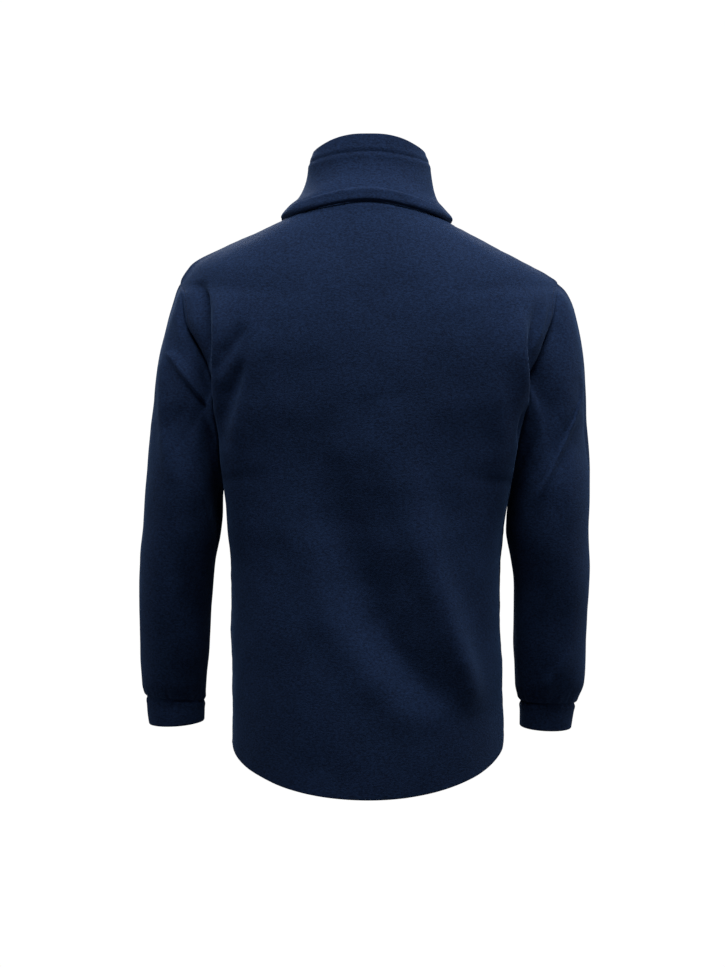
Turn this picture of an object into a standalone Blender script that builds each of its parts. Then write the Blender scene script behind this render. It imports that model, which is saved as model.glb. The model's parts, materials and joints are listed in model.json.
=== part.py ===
"""Fleece zip jacket, filled out as if worn, with nobody in it.

Metres, +Z up. The jacket faces -Y, the wearer's left is +X, and the origin is where the
shoulders carry it, in the middle of the neck. Each cut piece of cloth is one closed wall,
0.3 mm from the pieces that it is sewn to. The zip's pull tab is the one piece that turns.
"""

import math

import bmesh
import bpy
import numpy as np
from mathutils.kdtree import KDTree

# ---------------------------------------------------------------- driving dimensions
FLEECE = 0.0025         # one layer of fleece
COLLAR_CLOTH = 0.0042   # the stand collar is two layers
CUFF_CLOTH = 0.0042     # a cuff is a folded band
SEAM_SETBACK = 0.00017  # each piece ends this far short of its seam line
SEAM_REACH = 0.0006     # points this near each other are sewn together
SLEEVE_CLEARANCE = 0.0002
LEFT, RIGHT = 1, -1     # the wearer's sides, as signs of X
FRONT_EDGE = 0.0055     # half the opening that the zip fills
BODY_HALF_WIDTH, BODY_HALF_DEPTH = 0.18, 0.13   # the ellipse whose normals the folds follow

# ---------------------------------------------------------------- zip
TAPE_THICKNESS = 0.0007
TAPE_EDGES = (0.0010, 0.0035, 0.0055, 0.0080, 0.0115, 0.0155)   # X of the tape's columns
TAPE_CLEARANCE = 0.0008     # behind the cloth that it is sewn to
TAPE_ENDS = (0.003, 0.003)  # short of the hem and of the collar's top
CHAIN_HALF_WIDTH = 0.0030
CHAIN_THICKNESS = 0.0016
CHAIN_CLEARANCE = 0.0003    # in front of the tapes
# The slider and the bottom box are both a front and a back plate joined by a web that passes
# between the tapes. lift is from the tapes' face to the front plate, back from it to the back one.
SLIDER = {"half_width": 0.0044, "length": 0.0115, "lift": 0.0023, "plate": 0.0012}
BOX = {"half_width": 0.0042, "length": 0.0095, "lift": 0.0004, "plate": 0.0020}
PLATE_BACK = 0.0011         # from the tapes' outer face to the back plate's near face
WEB_HALF_WIDTH = 0.0007
SLIDER_FROM_TOP = 0.0110    # the slider's middle, down the zip from the tapes' top
BOX_OVERHANG = 0.0010       # the box ends this far below the tapes
BAIL_HALF_WIDTH, BAIL_THICKNESS = 0.0008, 0.0009
BAIL_HALF_OPENING, BAIL_CLEAR_HEIGHT = 0.0017, 0.0026
PIVOT_HEIGHT = 0.0013       # the pull's bar, above the slider's plate
PULL_HALF_WIDTH, PULL_HALF_THICKNESS, PULL_LENGTH = 0.0030, 0.0006, 0.0300
PULL_BAR = 0.0012
EYE_HALF_WIDTH, EYE_LENGTH = 0.0015, 0.0042
PULL_ROUNDING = 5           # steps of the pull's round end


class Table:
    """A short table with named columns, read between its rows along a smooth curve."""

    def __init__(self, columns, rows):
        self.columns = columns
        self.values = np.array(rows, float)
        self.last = len(rows) - 1

    def at(self, column, row):
        """Monotone cubic through the column, so that nothing swings past its rows."""
        y = self.values[:, self.columns.index(column)]
        step = np.diff(y)
        slope = np.zeros(len(y))
        both = step[:-1] * step[1:] > 0
        slope[1:-1][both] = 2 * step[:-1][both] * step[1:][both] / (step[:-1] + step[1:])[both]
        slope[0], slope[-1] = step[0], step[-1]
        i = min(max(int(math.floor(row)), 0), self.last - 1)
        t = row - i
        return (
            y[i] * (1 + 2 * t) * (1 - t) ** 2
            + slope[i] * t * (1 - t) ** 2
            + y[i + 1] * t * t * (3 - 2 * t)
            + slope[i + 1] * t * t * (t - 1)
        )


# Seams at the sides, from the hem up: side seam, armhole, shoulder seam. scoop is how much
# nearer the middle the front's edge is. Rows 5 to 12 are the armhole.
ARMPIT_ROW, SHOULDER_ROW = 5, 12
SIDES = Table(
    ("z_left", "z_right", "x_left", "x_right", "y_back", "y_front", "scoop"),
    [
        (-0.6805, -0.6805, 0.1755, 0.1755, 0.000, 0.000, 0.000),
        (-0.6000, -0.6000, 0.1755, 0.1755, 0.000, 0.000, 0.000),
        (-0.5300, -0.5300, 0.1768, 0.1718, 0.000, 0.000, 0.000),
        (-0.4600, -0.4600, 0.1768, 0.1722, 0.000, 0.000, 0.000),
        (-0.4000, -0.4000, 0.1805, 0.1765, 0.000, 0.000, 0.000),
        (-0.3500, -0.3520, 0.1840, 0.1815, 0.000, 0.000, 0.000),
        (-0.3340, -0.3360, 0.1825, 0.1815, 0.025, -0.029, 0.001),
        (-0.2960, -0.2980, 0.1830, 0.1850, 0.046, -0.052, 0.005),
        (-0.2400, -0.2410, 0.1870, 0.1930, 0.059, -0.065, 0.010),
        (-0.1860, -0.1870, 0.2015, 0.2095, 0.061, -0.066, 0.012),
        (-0.1380, -0.1380, 0.2240, 0.2285, 0.051, -0.055, 0.008),
        (-0.1010, -0.1010, 0.2400, 0.2420, 0.027, -0.035, 0.003),
        (-0.0865, -0.0870, 0.2450, 0.2465, -0.007, -0.007, 0.000),
        (-0.0640, -0.0740, 0.2310, 0.2310, -0.007, -0.007, 0.000),
        (-0.0340, -0.0440, 0.1740, 0.1740, -0.007, -0.007, 0.000),
        (-0.0090, -0.0120, 0.1080, 0.1060, -0.007, -0.007, 0.000),
    ],
)
# The middle of the back and of the front at those rows. turn is the way that the cloth leaves
# its edge, in degrees from the X axis, lead how long it keeps that way, and broad how flat the
# middle is. even is 0 where the hem swoops and 1 where a row runs level out of its ends.
BACK = Table(
    ("z", "y", "turn", "lead", "broad", "even"),
    [
        (-0.7430, 0.128, 90, 0.066, 0.57, 0),
        (-0.6350, 0.127, 90, 0.074, 0.61, 0.3),
        (-0.5420, 0.123, 90, 0.082, 0.65, 1),
        (-0.4640, 0.119, 90, 0.088, 0.68, 1),
        (-0.4000, 0.119, 89, 0.091, 0.70, 1),
        (-0.3460, 0.122, 88, 0.091, 0.70, 1),
        (-0.3180, 0.124, 86, 0.066, 0.66, 1),
        (-0.2820, 0.126, 84, 0.052, 0.62, 1),
        (-0.2330, 0.128, 82, 0.047, 0.63, 1),
        (-0.1880, 0.127, 88, 0.046, 0.65, 1),
        (-0.1500, 0.124, 104, 0.046, 0.66, 1),
        (-0.1230, 0.120, 122, 0.052, 0.64, 1),
        (-0.1060, 0.117, 108, 0.064, 0.63, 1),
        (-0.0850, 0.112, 98, 0.066, 0.62, 1),
        (-0.0430, 0.096, 94, 0.058, 0.60, 1),
        (0.0080, 0.0665, 90, 0.042, 0.56, 1),
    ],
)
FRONT = Table(
    ("z", "y", "turn", "lead", "broad", "even"),
    [
        (-0.7000, -0.125, 90, 0.070, 0.58, 0),
        (-0.6140, -0.127, 90, 0.078, 0.61, 0.3),
        (-0.5360, -0.129, 90, 0.086, 0.64, 1),
        (-0.4630, -0.132, 90, 0.094, 0.66, 1),
        (-0.4020, -0.136, 90, 0.100, 0.68, 1),
        (-0.3490, -0.141, 89, 0.102, 0.68, 1),
        (-0.3270, -0.143, 87, 0.074, 0.64, 1),
        (-0.2960, -0.143, 85, 0.056, 0.61, 1),
        (-0.2560, -0.142, 85, 0.050, 0.60, 1),
        (-0.2200, -0.139, 92, 0.050, 0.60, 1),
        (-0.1900, -0.134, 106, 0.052, 0.60, 1),
        (-0.1700, -0.129, 118, 0.056, 0.60, 1),
        (-0.1570, -0.125, 106, 0.066, 0.59, 1),
        (-0.1410, -0.119, 98, 0.066, 0.58, 1),
        (-0.1050, -0.105, 94, 0.056, 0.56, 1),
        (-0.0620, -0.087, 90, 0.046, 0.54, 1),
    ],
)
# How many mesh rows lie between two rows of the tables above, and how the columns crowd
# towards the sides.
BODY_STEPS = (3, 3, 3, 3, 2, 1, 2, 3, 2, 2, 2, 1, 1, 3, 3)
BACK_HALF_COLUMNS, FRONT_COLUMNS = 13, 13
CROWDING = 1.3
FINE = np.linspace(0, 1, 81)    # steps along a curve, from which the columns are read

# The sleeves, from the armhole down: the outer and the inner line of each as seen from behind,
# the middle's Y and half the depth. The last row is the seam with the cuff.
SLEEVE_COLUMNS = ("x_out", "z_out", "x_in", "z_in", "y", "half_depth")
SLEEVES = {
    LEFT: Table(
        SLEEVE_COLUMNS,
        [
            (0.2450, -0.0865, 0.1840, -0.3500, -0.002, 0.064),
            (0.2500, -0.0970, 0.1850, -0.3515, -0.002, 0.067),
            (0.2565, -0.1210, 0.1856, -0.3530, -0.002, 0.070),
            (0.2640, -0.1510, 0.1860, -0.3545, -0.002, 0.072),
            (0.2715, -0.1840, 0.1864, -0.3565, -0.003, 0.074),
            (0.2765, -0.2200, 0.1867, -0.3590, -0.003, 0.075),
            (0.2805, -0.2620, 0.1870, -0.3630, -0.004, 0.075),
            (0.2850, -0.3080, 0.1875, -0.3710, -0.004, 0.074),
            (0.2890, -0.3560, 0.1885, -0.3880, -0.005, 0.072),
            (0.2922, -0.4020, 0.1920, -0.4150, -0.006, 0.069),
            (0.2960, -0.4470, 0.1980, -0.4490, -0.009, 0.065),
            (0.2977, -0.4950, 0.2015, -0.4920, -0.014, 0.060),
            (0.2977, -0.5400, 0.2060, -0.5360, -0.020, 0.055),
            (0.2972, -0.5800, 0.2087, -0.5800, -0.026, 0.050),
            (0.2955, -0.6100, 0.2118, -0.6130, -0.030, 0.045),
            (0.2895, -0.6255, 0.2140, -0.6310, -0.032, 0.037),
        ],
    ),
    RIGHT: Table(
        SLEEVE_COLUMNS,
        [
            (0.2465, -0.0870, 0.1815, -0.3520, -0.002, 0.064),
            (0.2555, -0.0950, 0.1822, -0.3535, -0.002, 0.067),
            (0.2670, -0.1160, 0.1826, -0.3550, -0.002, 0.070),
            (0.2750, -0.1450, 0.1828, -0.3570, -0.002, 0.072),
            (0.2810, -0.1800, 0.1829, -0.3600, -0.003, 0.074),
            (0.2835, -0.2160, 0.1829, -0.3640, -0.003, 0.075),
            (0.2857, -0.2580, 0.1827, -0.3690, -0.004, 0.075),
            (0.2887, -0.3060, 0.1822, -0.3760, -0.004, 0.074),
            (0.2896, -0.3560, 0.1812, -0.3880, -0.005, 0.072),
            (0.2889, -0.4020, 0.1808, -0.4080, -0.006, 0.069),
            (0.2888, -0.4470, 0.1868, -0.4450, -0.009, 0.065),
            (0.2885, -0.4920, 0.1910, -0.4880, -0.014, 0.060),
            (0.2865, -0.5360, 0.1912, -0.5320, -0.020, 0.056),
            (0.2858, -0.5800, 0.1915, -0.5740, -0.026, 0.053),
            (0.2840, -0.6080, 0.1925, -0.6100, -0.030, 0.048),
            (0.2720, -0.6350, 0.2000, -0.6320, -0.032, 0.036),
        ],
    ),
}
SLEEVE_SETTLES_BY = 7   # the armhole's own shape has gone by this ring
CUFFS = {
    LEFT: Table(
        SLEEVE_COLUMNS,
        [
            (0.2895, -0.6255, 0.2140, -0.6310, -0.032, 0.037),
            (0.2885, -0.6430, 0.2141, -0.6440, -0.033, 0.037),
            (0.2865, -0.6620, 0.2144, -0.6580, -0.034, 0.036),
        ],
    ),
    RIGHT: Table(
        SLEEVE_COLUMNS,
        [
            (0.2720, -0.6350, 0.2000, -0.6320, -0.032, 0.036),
            (0.2700, -0.6510, 0.2003, -0.6480, -0.033, 0.036),
            (0.2675, -0.6680, 0.2005, -0.6650, -0.034, 0.035),
        ],
    ),
}
CUFF_STEPS = 2

# The stand collar, from the neck seam up. The rows up to BAND_ROW are the collar, the rest its
# top band. At the sides and the back the first rows roll out over the seam.
BAND_ROW = 6
COLLAR = Table(
    ("x_left", "x_right", "z_side", "y_side", "z_back", "y_back", "z_front", "y_front"),
    [
        (0.1080, 0.1060, -0.0090, -0.007, 0.0080, 0.0665, -0.0620, -0.0870),
        (0.1125, 0.1095, 0.0000, -0.008, 0.0150, 0.0730, -0.0520, -0.0895),
        (0.1045, 0.1010, 0.0100, -0.010, 0.0270, 0.0725, -0.0400, -0.0905),
        (0.0930, 0.0920, 0.0220, -0.012, 0.0400, 0.0640, -0.0260, -0.0900),
        (0.0860, 0.0880, 0.0330, -0.013, 0.0520, 0.0560, -0.0110, -0.0890),
        (0.0800, 0.0845, 0.0490, -0.014, 0.0660, 0.0500, 0.0060, -0.0880),
        (0.0760, 0.0805, 0.0660, -0.014, 0.0790, 0.0470, 0.0210, -0.0870),
        (0.0738, 0.0780, 0.0750, -0.014, 0.0910, 0.0450, 0.0310, -0.0865),
        (0.0712, 0.0755, 0.0850, -0.014, 0.1020, 0.0420, 0.0410, -0.0860),
    ],
)
COLLAR_REACH = 0.56     # Bezier handle of a quarter of an ellipse, a little squared

# Folds, as seen square from behind or in front, each from its top down: where its crest runs,
# how far it spreads on the +X and on the -X side, and how high it stands (a trough is below 0).
FOLD_COLUMNS = ("x", "z", "wide_plus", "wide_minus", "height")
ON_BACK, ON_FRONT = 1, -1
BODY_FOLDS = (
    # the long slack across the back, and the swell beside it
    (ON_BACK, Table(FOLD_COLUMNS, [
        (0.090, -0.130, 0.045, 0.040, 0.0000),
        (0.069, -0.215, 0.045, 0.040, -0.0030),
        (0.008, -0.383, 0.045, 0.036, -0.0075),
        (-0.053, -0.510, 0.042, 0.032, -0.0095),
        (-0.116, -0.618, 0.036, 0.026, -0.0060),
        (-0.140, -0.660, 0.030, 0.024, 0.0000),
    ])),
    (ON_BACK, Table(FOLD_COLUMNS, [
        (-0.078, -0.360, 0.024, 0.022, 0.0000),
        (-0.098, -0.420, 0.024, 0.022, 0.0050),
        (-0.122, -0.486, 0.022, 0.018, 0.0070),
        (-0.137, -0.555, 0.018, 0.016, 0.0055),
        (-0.139, -0.620, 0.016, 0.016, 0.0000),
    ])),
    (ON_BACK, Table(FOLD_COLUMNS, [
        (0.040, -0.440, 0.036, 0.030, 0.0000),
        (0.010, -0.540, 0.036, 0.030, 0.0045),
        (-0.040, -0.640, 0.034, 0.030, 0.0020),
        (-0.060, -0.690, 0.030, 0.030, 0.0000),
    ])),
    # the roll of cloth behind each armhole, and the drag line into the left one
    (ON_BACK, Table(FOLD_COLUMNS, [
        (0.201, -0.092, 0.006, 0.014, 0.0000),
        (0.197, -0.126, 0.006, 0.016, 0.0050),
        (0.195, -0.172, 0.006, 0.018, 0.0080),
        (0.193, -0.222, 0.007, 0.018, 0.0080),
        (0.189, -0.268, 0.008, 0.018, 0.0070),
        (0.181, -0.312, 0.009, 0.018, 0.0055),
        (0.172, -0.352, 0.010, 0.018, 0.0040),
        (0.166, -0.400, 0.012, 0.018, 0.0000),
    ])),
    (ON_BACK, Table(FOLD_COLUMNS, [
        (-0.192, -0.112, 0.014, 0.006, 0.0000),
        (-0.198, -0.156, 0.016, 0.006, 0.0055),
        (-0.200, -0.198, 0.018, 0.006, 0.0080),
        (-0.199, -0.236, 0.018, 0.007, 0.0075),
        (-0.190, -0.262, 0.018, 0.008, 0.0065),
        (-0.182, -0.300, 0.018, 0.009, 0.0055),
        (-0.176, -0.348, 0.018, 0.010, 0.0040),
        (-0.172, -0.410, 0.018, 0.012, 0.0000),
    ])),
    (ON_BACK, Table(FOLD_COLUMNS, [
        (0.140, -0.180, 0.012, 0.010, 0.0000),
        (0.162, -0.204, 0.012, 0.010, -0.0035),
        (0.184, -0.234, 0.010, 0.010, -0.0030),
    ])),
    # the same slack on the front, softer
    (ON_FRONT, Table(FOLD_COLUMNS, [
        (0.062, -0.195, 0.018, 0.018, 0.0000),
        (0.092, -0.250, 0.018, 0.018, 0.0040),
        (0.128, -0.310, 0.018, 0.018, 0.0035),
        (0.150, -0.345, 0.018, 0.018, 0.0000),
    ])),
    (ON_FRONT, Table(FOLD_COLUMNS, [
        (-0.066, -0.190, 0.018, 0.018, 0.0000),
        (-0.098, -0.244, 0.018, 0.018, 0.0040),
        (-0.132, -0.304, 0.018, 0.018, 0.0030),
        (-0.150, -0.340, 0.018, 0.018, 0.0000),
    ])),
    (ON_FRONT, Table(FOLD_COLUMNS, [
        (0.074, -0.320, 0.026, 0.030, 0.0000),
        (0.092, -0.400, 0.026, 0.030, -0.0055),
        (0.110, -0.500, 0.026, 0.030, -0.0065),
        (0.122, -0.610, 0.024, 0.026, 0.0000),
    ])),
    (ON_FRONT, Table(FOLD_COLUMNS, [
        (-0.062, -0.340, 0.030, 0.026, 0.0000),
        (-0.080, -0.430, 0.030, 0.026, -0.0060),
        (-0.106, -0.540, 0.030, 0.026, -0.0065),
        (-0.124, -0.640, 0.026, 0.024, 0.0000),
    ])),
    (ON_FRONT, Table(FOLD_COLUMNS, [
        (0.060, -0.480, 0.018, 0.018, 0.0000),
        (0.066, -0.570, 0.018, 0.018, 0.0040),
        (0.070, -0.650, 0.018, 0.018, 0.0015),
    ])),
    (ON_FRONT, Table(FOLD_COLUMNS, [
        (-0.050, -0.300, 0.018, 0.018, 0.0000),
        (-0.058, -0.380, 0.018, 0.018, 0.0040),
        (-0.062, -0.470, 0.018, 0.018, 0.0000),
    ])),
)
SLEEVE_FOLDS = (
    (ON_BACK, Table(FOLD_COLUMNS, [
        (0.272, -0.165, 0.010, 0.014, 0.0000),
        (0.256, -0.180, 0.007, 0.016, 0.0055),
        (0.232, -0.208, 0.006, 0.017, 0.0070),
        (0.211, -0.236, 0.006, 0.016, 0.0060),
        (0.194, -0.262, 0.008, 0.014, 0.0000),
    ])),
    (ON_BACK, Table(FOLD_COLUMNS, [
        (0.262, -0.165, 0.008, 0.010, 0.0000),
        (0.268, -0.200, 0.008, 0.012, 0.0035),
        (0.268, -0.246, 0.008, 0.012, 0.0040),
        (0.263, -0.296, 0.010, 0.012, 0.0035),
        (0.246, -0.345, 0.012, 0.012, 0.0000),
    ])),
    (ON_BACK, Table(FOLD_COLUMNS, [
        (0.262, -0.380, 0.018, 0.020, 0.0000),
        (0.250, -0.440, 0.018, 0.020, -0.0035),
        (0.232, -0.500, 0.016, 0.018, -0.0035),
        (0.222, -0.550, 0.014, 0.016, 0.0000),
    ])),
    (ON_BACK, Table(FOLD_COLUMNS, [
        (-0.284, -0.200, 0.010, 0.010, 0.0000),
        (-0.276, -0.240, 0.009, 0.010, 0.0045),
        (-0.262, -0.280, 0.008, 0.011, 0.0055),
        (-0.244, -0.318, 0.008, 0.012, 0.0045),
        (-0.228, -0.350, 0.010, 0.012, 0.0000),
    ])),
    (ON_BACK, Table(FOLD_COLUMNS, [
        (-0.262, -0.210, 0.014, 0.012, 0.0000),
        (-0.250, -0.262, 0.014, 0.011, -0.0040),
        (-0.232, -0.306, 0.014, 0.010, -0.0040),
        (-0.214, -0.340, 0.012, 0.010, 0.0000),
    ])),
    (ON_BACK, Table(FOLD_COLUMNS, [
        (-0.262, -0.560, 0.010, 0.010, 0.0000),
        (-0.250, -0.590, 0.009, 0.010, 0.0035),
        (-0.232, -0.612, 0.008, 0.009, 0.0020),
    ])),
    (ON_FRONT, Table(FOLD_COLUMNS, [
        (0.268, -0.280, 0.014, 0.016, 0.0000),
        (0.246, -0.340, 0.014, 0.016, -0.0050),
        (0.216, -0.400, 0.014, 0.016, 0.0000),
    ])),
    (ON_FRONT, Table(FOLD_COLUMNS, [
        (0.278, -0.410, 0.012, 0.014, 0.0000),
        (0.250, -0.440, 0.012, 0.014, 0.0050),
        (0.220, -0.462, 0.012, 0.014, 0.0000),
    ])),
    (ON_FRONT, Table(FOLD_COLUMNS, [
        (-0.266, -0.276, 0.016, 0.014, 0.0000),
        (-0.242, -0.336, 0.016, 0.014, -0.0050),
        (-0.214, -0.396, 0.016, 0.014, 0.0000),
    ])),
    (ON_FRONT, Table(FOLD_COLUMNS, [
        (-0.276, -0.414, 0.014, 0.012, 0.0000),
        (-0.246, -0.446, 0.014, 0.012, 0.0050),
        (-0.216, -0.470, 0.014, 0.012, 0.0000),
    ])),
)
FACE_FADE = 0.035       # a fold on one face has died away this far round the side


def smooth(t):
    t = np.clip(t, 0.0, 1.0)
    return t * t * (3 - 2 * t)


def one_fold(points, table):
    """The height of one fold at points (x, z): a swell about its line, widest where it says."""
    line = table.values[:, :2]
    nearest = np.full(len(points), np.inf)
    height = np.zeros(len(points))
    for i, (start, end) in enumerate(zip(line, line[1:])):
        way = end - start
        away = points - start
        along = np.clip(away @ way / (way @ way), 0, 1)
        off = away - along[:, None] * way
        distance = np.linalg.norm(off, axis=1)
        plus = way[0] * off[:, 1] - way[1] * off[:, 0] > 0
        here = table.values[i] * (1 - along[:, None]) + table.values[i + 1] * along[:, None]
        wide = np.where(plus, here[:, 2], here[:, 3])
        closer = distance < nearest
        nearest = np.where(closer, distance, nearest)
        height = np.where(closer, here[:, 4] * np.exp(-((distance / wide) ** 2)), height)
    return height


def fold_height(points, folds, y_middle):
    """How far the folds lift each point off the plain surface."""
    height = np.zeros(len(points))
    for face, table in folds:
        shown = smooth((points[:, 1] - y_middle) * face / FACE_FADE)
        height += one_fold(points[:, [0, 2]], table) * shown
    return height


def unit(vectors):
    return vectors / np.maximum(np.linalg.norm(vectors, axis=-1, keepdims=True), 1e-12)


# ---------------------------------------------------------------- the body's surface
def bezier(a, b, c, d, t):
    t = t[:, None]
    return (1 - t) ** 3 * a + 3 * (1 - t) ** 2 * t * b + 3 * (1 - t) * t * t * c + t ** 3 * d


def evenly(curve, shares):
    """Points at these shares of a polyline's length."""
    steps = np.linalg.norm(np.diff(curve, axis=0), axis=1)
    along = np.concatenate([[0], np.cumsum(steps)])
    at = np.asarray(shares) * along[-1]
    return np.stack([np.interp(at, along, curve[:, k]) for k in range(curve.shape[1])], axis=1)


def body_row(middle, side, row, shares):
    """Points along one row of a panel, from its edge at the side to the middle of the body."""
    back = middle is BACK
    name = "left" if side == LEFT else "right"
    edge_x = SIDES.at("x_" + name, row) - (0 if back else SIDES.at("scoop", row))
    edge_y = SIDES.at("y_back" if back else "y_front", row)
    edge_z = SIDES.at("z_" + name, row)
    y, z = middle.at("y", row), middle.at("z", row)
    turn, lead = math.radians(middle.at("turn", row)), middle.at("lead", row)
    inner_x = 0.0 if back else FRONT_EDGE
    way = 1 if back else -1
    a = np.array([edge_x, edge_y])
    b = a + lead * np.array([math.cos(turn), way * math.sin(turn)])
    c = np.array([middle.at("broad", row) * edge_x, y])
    d = np.array([inner_x, y])
    flat = evenly(bezier(a, b, c, d, FINE), shares)
    even = middle.at("even", row)
    swoop = (y - flat[:, 1]) / (y - edge_y)
    weight = (1 - even) * swoop + even * smooth(1 - np.asarray(shares))
    points = np.column_stack([side * flat[:, 0], flat[:, 1], z + (edge_z - z) * weight])
    outward = unit(
        np.column_stack(
            [
                points[:, 0] / BODY_HALF_WIDTH ** 2,
                points[:, 1] / BODY_HALF_DEPTH ** 2,
                np.zeros(len(points)),
            ]
        )
    )
    return points + outward * fold_height(points, BODY_FOLDS, 0.0)[:, None]


def crowded(count):
    """Shares of a row for this many columns, closer together near the side than the middle."""
    return np.linspace(0, 1, count + 1) ** CROWDING


def between(table_steps, first=0, last=None):
    """The row numbers of the mesh between two rows of a table."""
    rows = [float(first)]
    for i, steps in enumerate(table_steps[first:last], first):
        rows += [i + (k + 1) / steps for k in range(steps)]
    return rows


BODY_ROWS = between(BODY_STEPS)
ARMHOLE_ROWS = between(BODY_STEPS, ARMPIT_ROW, SHOULDER_ROW)


def back_grid():
    shares = crowded(BACK_HALF_COLUMNS)
    rows = []
    for row in BODY_ROWS:
        left = body_row(BACK, LEFT, row, shares)
        right = body_row(BACK, RIGHT, row, shares)
        rows.append(np.concatenate([left, right[::-1][1:]]))
    return np.array(rows)


def front_grid(side):
    """Its first column is at the zip for the left front and on the side seam for the right."""
    shares = crowded(FRONT_COLUMNS)
    grid = np.array([body_row(FRONT, side, row, shares) for row in BODY_ROWS])
    return grid[:, ::-1] if side == LEFT else grid


# ---------------------------------------------------------------- sleeves and cuffs
def armhole_loop(side):
    """The armhole's points: from the shoulder down the back to the armpit, and up the front."""
    down = [body_row(BACK, side, row, [0.0, 0.1])[0] for row in reversed(ARMHOLE_ROWS)]
    up = [body_row(FRONT, side, row, [0.0, 0.1])[0] for row in ARMHOLE_ROWS[1:-1]]
    return np.array(down + up)


def ring_frame(table, side, row):
    outer = np.array([side * table.at("x_out", row), table.at("z_out", row)])
    inner = np.array([side * table.at("x_in", row), table.at("z_in", row)])
    middle, half = (outer + inner) / 2, (outer - inner) / 2
    reach = np.linalg.norm(half)
    centre = np.array([middle[0], table.at("y", row), middle[1]])
    outward = np.array([half[0], 0, half[1]]) / reach
    along = np.cross(outward, [0, side, 0])
    return centre, outward, along, reach, table.at("half_depth", row)


def sleeve_rings(side, rows):
    table = SLEEVES[side]
    loop = armhole_loop(side)
    count = len(loop)
    centre, outward, along, reach, depth = ring_frame(table, side, 0)
    local = loop - centre
    start = np.column_stack([local @ outward / reach, local[:, 1] / depth, local @ along])
    start_angle = np.unwrap(np.arctan2(start[:, 1], start[:, 0]))
    even_angle = np.arange(count) * 2 * math.pi / count
    rings = []
    for row in rows:
        centre, outward, along, reach, depth = ring_frame(table, side, row)
        share = smooth(row / SLEEVE_SETTLES_BY)
        angle = (1 - share) * start_angle + share * even_angle
        across = (1 - share) * start[:, 0] + share * np.cos(angle)
        deep = (1 - share) * start[:, 1] + share * np.sin(angle)
        ahead = (1 - share) * start[:, 2]
        ring = (
            centre
            + np.outer(across * reach, outward)
            + np.outer(deep * depth, [0, 1, 0])
            + np.outer(ahead, along)
        )
        way = unit(np.outer(np.cos(angle), outward) + np.outer(np.sin(angle), [0, 1, 0]))
        lift = fold_height(ring, SLEEVE_FOLDS, table.at("y", row)) * smooth(row / 3)
        rings.append(ring + way * lift[:, None])
    rings[0] = loop + np.array([side * SLEEVE_CLEARANCE, 0, 0])
    return np.array(rings)


def cuff_rings(side, count):
    table = CUFFS[side]
    angle = np.arange(count) * 2 * math.pi / count
    rings = []
    for row in between((CUFF_STEPS,) * table.last):
        centre, outward, _, reach, depth = ring_frame(table, side, row)
        rings.append(
            centre
            + np.outer(np.cos(angle) * reach, outward)
            + np.outer(np.sin(angle) * depth, [0, 1, 0])
        )
    return np.array(rings)


# ---------------------------------------------------------------- collar
def collar_quarter(side, row, back, shares):
    x = COLLAR.at("x_left" if side == LEFT else "x_right", row)
    name = "back" if back else "front"
    y, z = COLLAR.at("y_" + name, row), COLLAR.at("z_" + name, row)
    y_side, z_side = COLLAR.at("y_side", row), COLLAR.at("z_side", row)
    inner_x = 0.0 if back else FRONT_EDGE
    a, d = np.array([x, y_side]), np.array([inner_x, y])
    b = a + [0, COLLAR_REACH * (y - y_side)]
    c = np.array([COLLAR_REACH * x, y])
    flat = evenly(bezier(a, b, c, d, FINE), shares)
    weight = smooth(1 - np.asarray(shares))
    return np.column_stack([side * flat[:, 0], flat[:, 1], z + (z_side - z) * weight])


def collar_ring(row):
    """From the zip round the wearer's right, the back and the left, to the zip again."""
    front, back = crowded(FRONT_COLUMNS), crowded(BACK_HALF_COLUMNS)
    if row == 0:    # on the neck seam the collar takes the body's own points
        top = float(SIDES.last)
        quarters = [
            body_row(FRONT, RIGHT, top, front)[::-1],
            body_row(BACK, RIGHT, top, back),
            body_row(BACK, LEFT, top, back)[::-1],
            body_row(FRONT, LEFT, top, front),
        ]
    else:
        quarters = [
            collar_quarter(RIGHT, row, False, front)[::-1],
            collar_quarter(RIGHT, row, True, back),
            collar_quarter(LEFT, row, True, back)[::-1],
            collar_quarter(LEFT, row, False, front),
        ]
    return np.concatenate([quarters[0]] + [q[1:] for q in quarters[1:]])


# ---------------------------------------------------------------- walls
def grid_normals(grid, closed):
    """Outward normals of a grid whose rows run with the outside on their right."""
    if closed:
        across = np.roll(grid, -1, axis=1) - np.roll(grid, 1, axis=1)
    else:
        across = np.empty_like(grid)
        across[:, 1:-1] = grid[:, 2:] - grid[:, :-2]
        across[:, 0], across[:, -1] = grid[:, 1] - grid[:, 0], grid[:, -1] - grid[:, -2]
    up = np.empty_like(grid)
    up[1:-1] = grid[2:] - grid[:-2]
    up[0], up[-1] = grid[1] - grid[0], grid[-1] - grid[-2]
    return unit(np.cross(across, up))


ALL_EDGES = ("bottom", "top", "first", "last")


class Piece:
    """The outer face of one cut piece, as a grid of points, with the wall that it becomes."""

    def __init__(self, name, grid, thickness, material, closed=False, free=()):
        self.name, self.grid, self.thickness = name, grid, thickness
        self.material, self.closed, self.free = material, closed, free
        self.normals = grid_normals(grid, closed)


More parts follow.
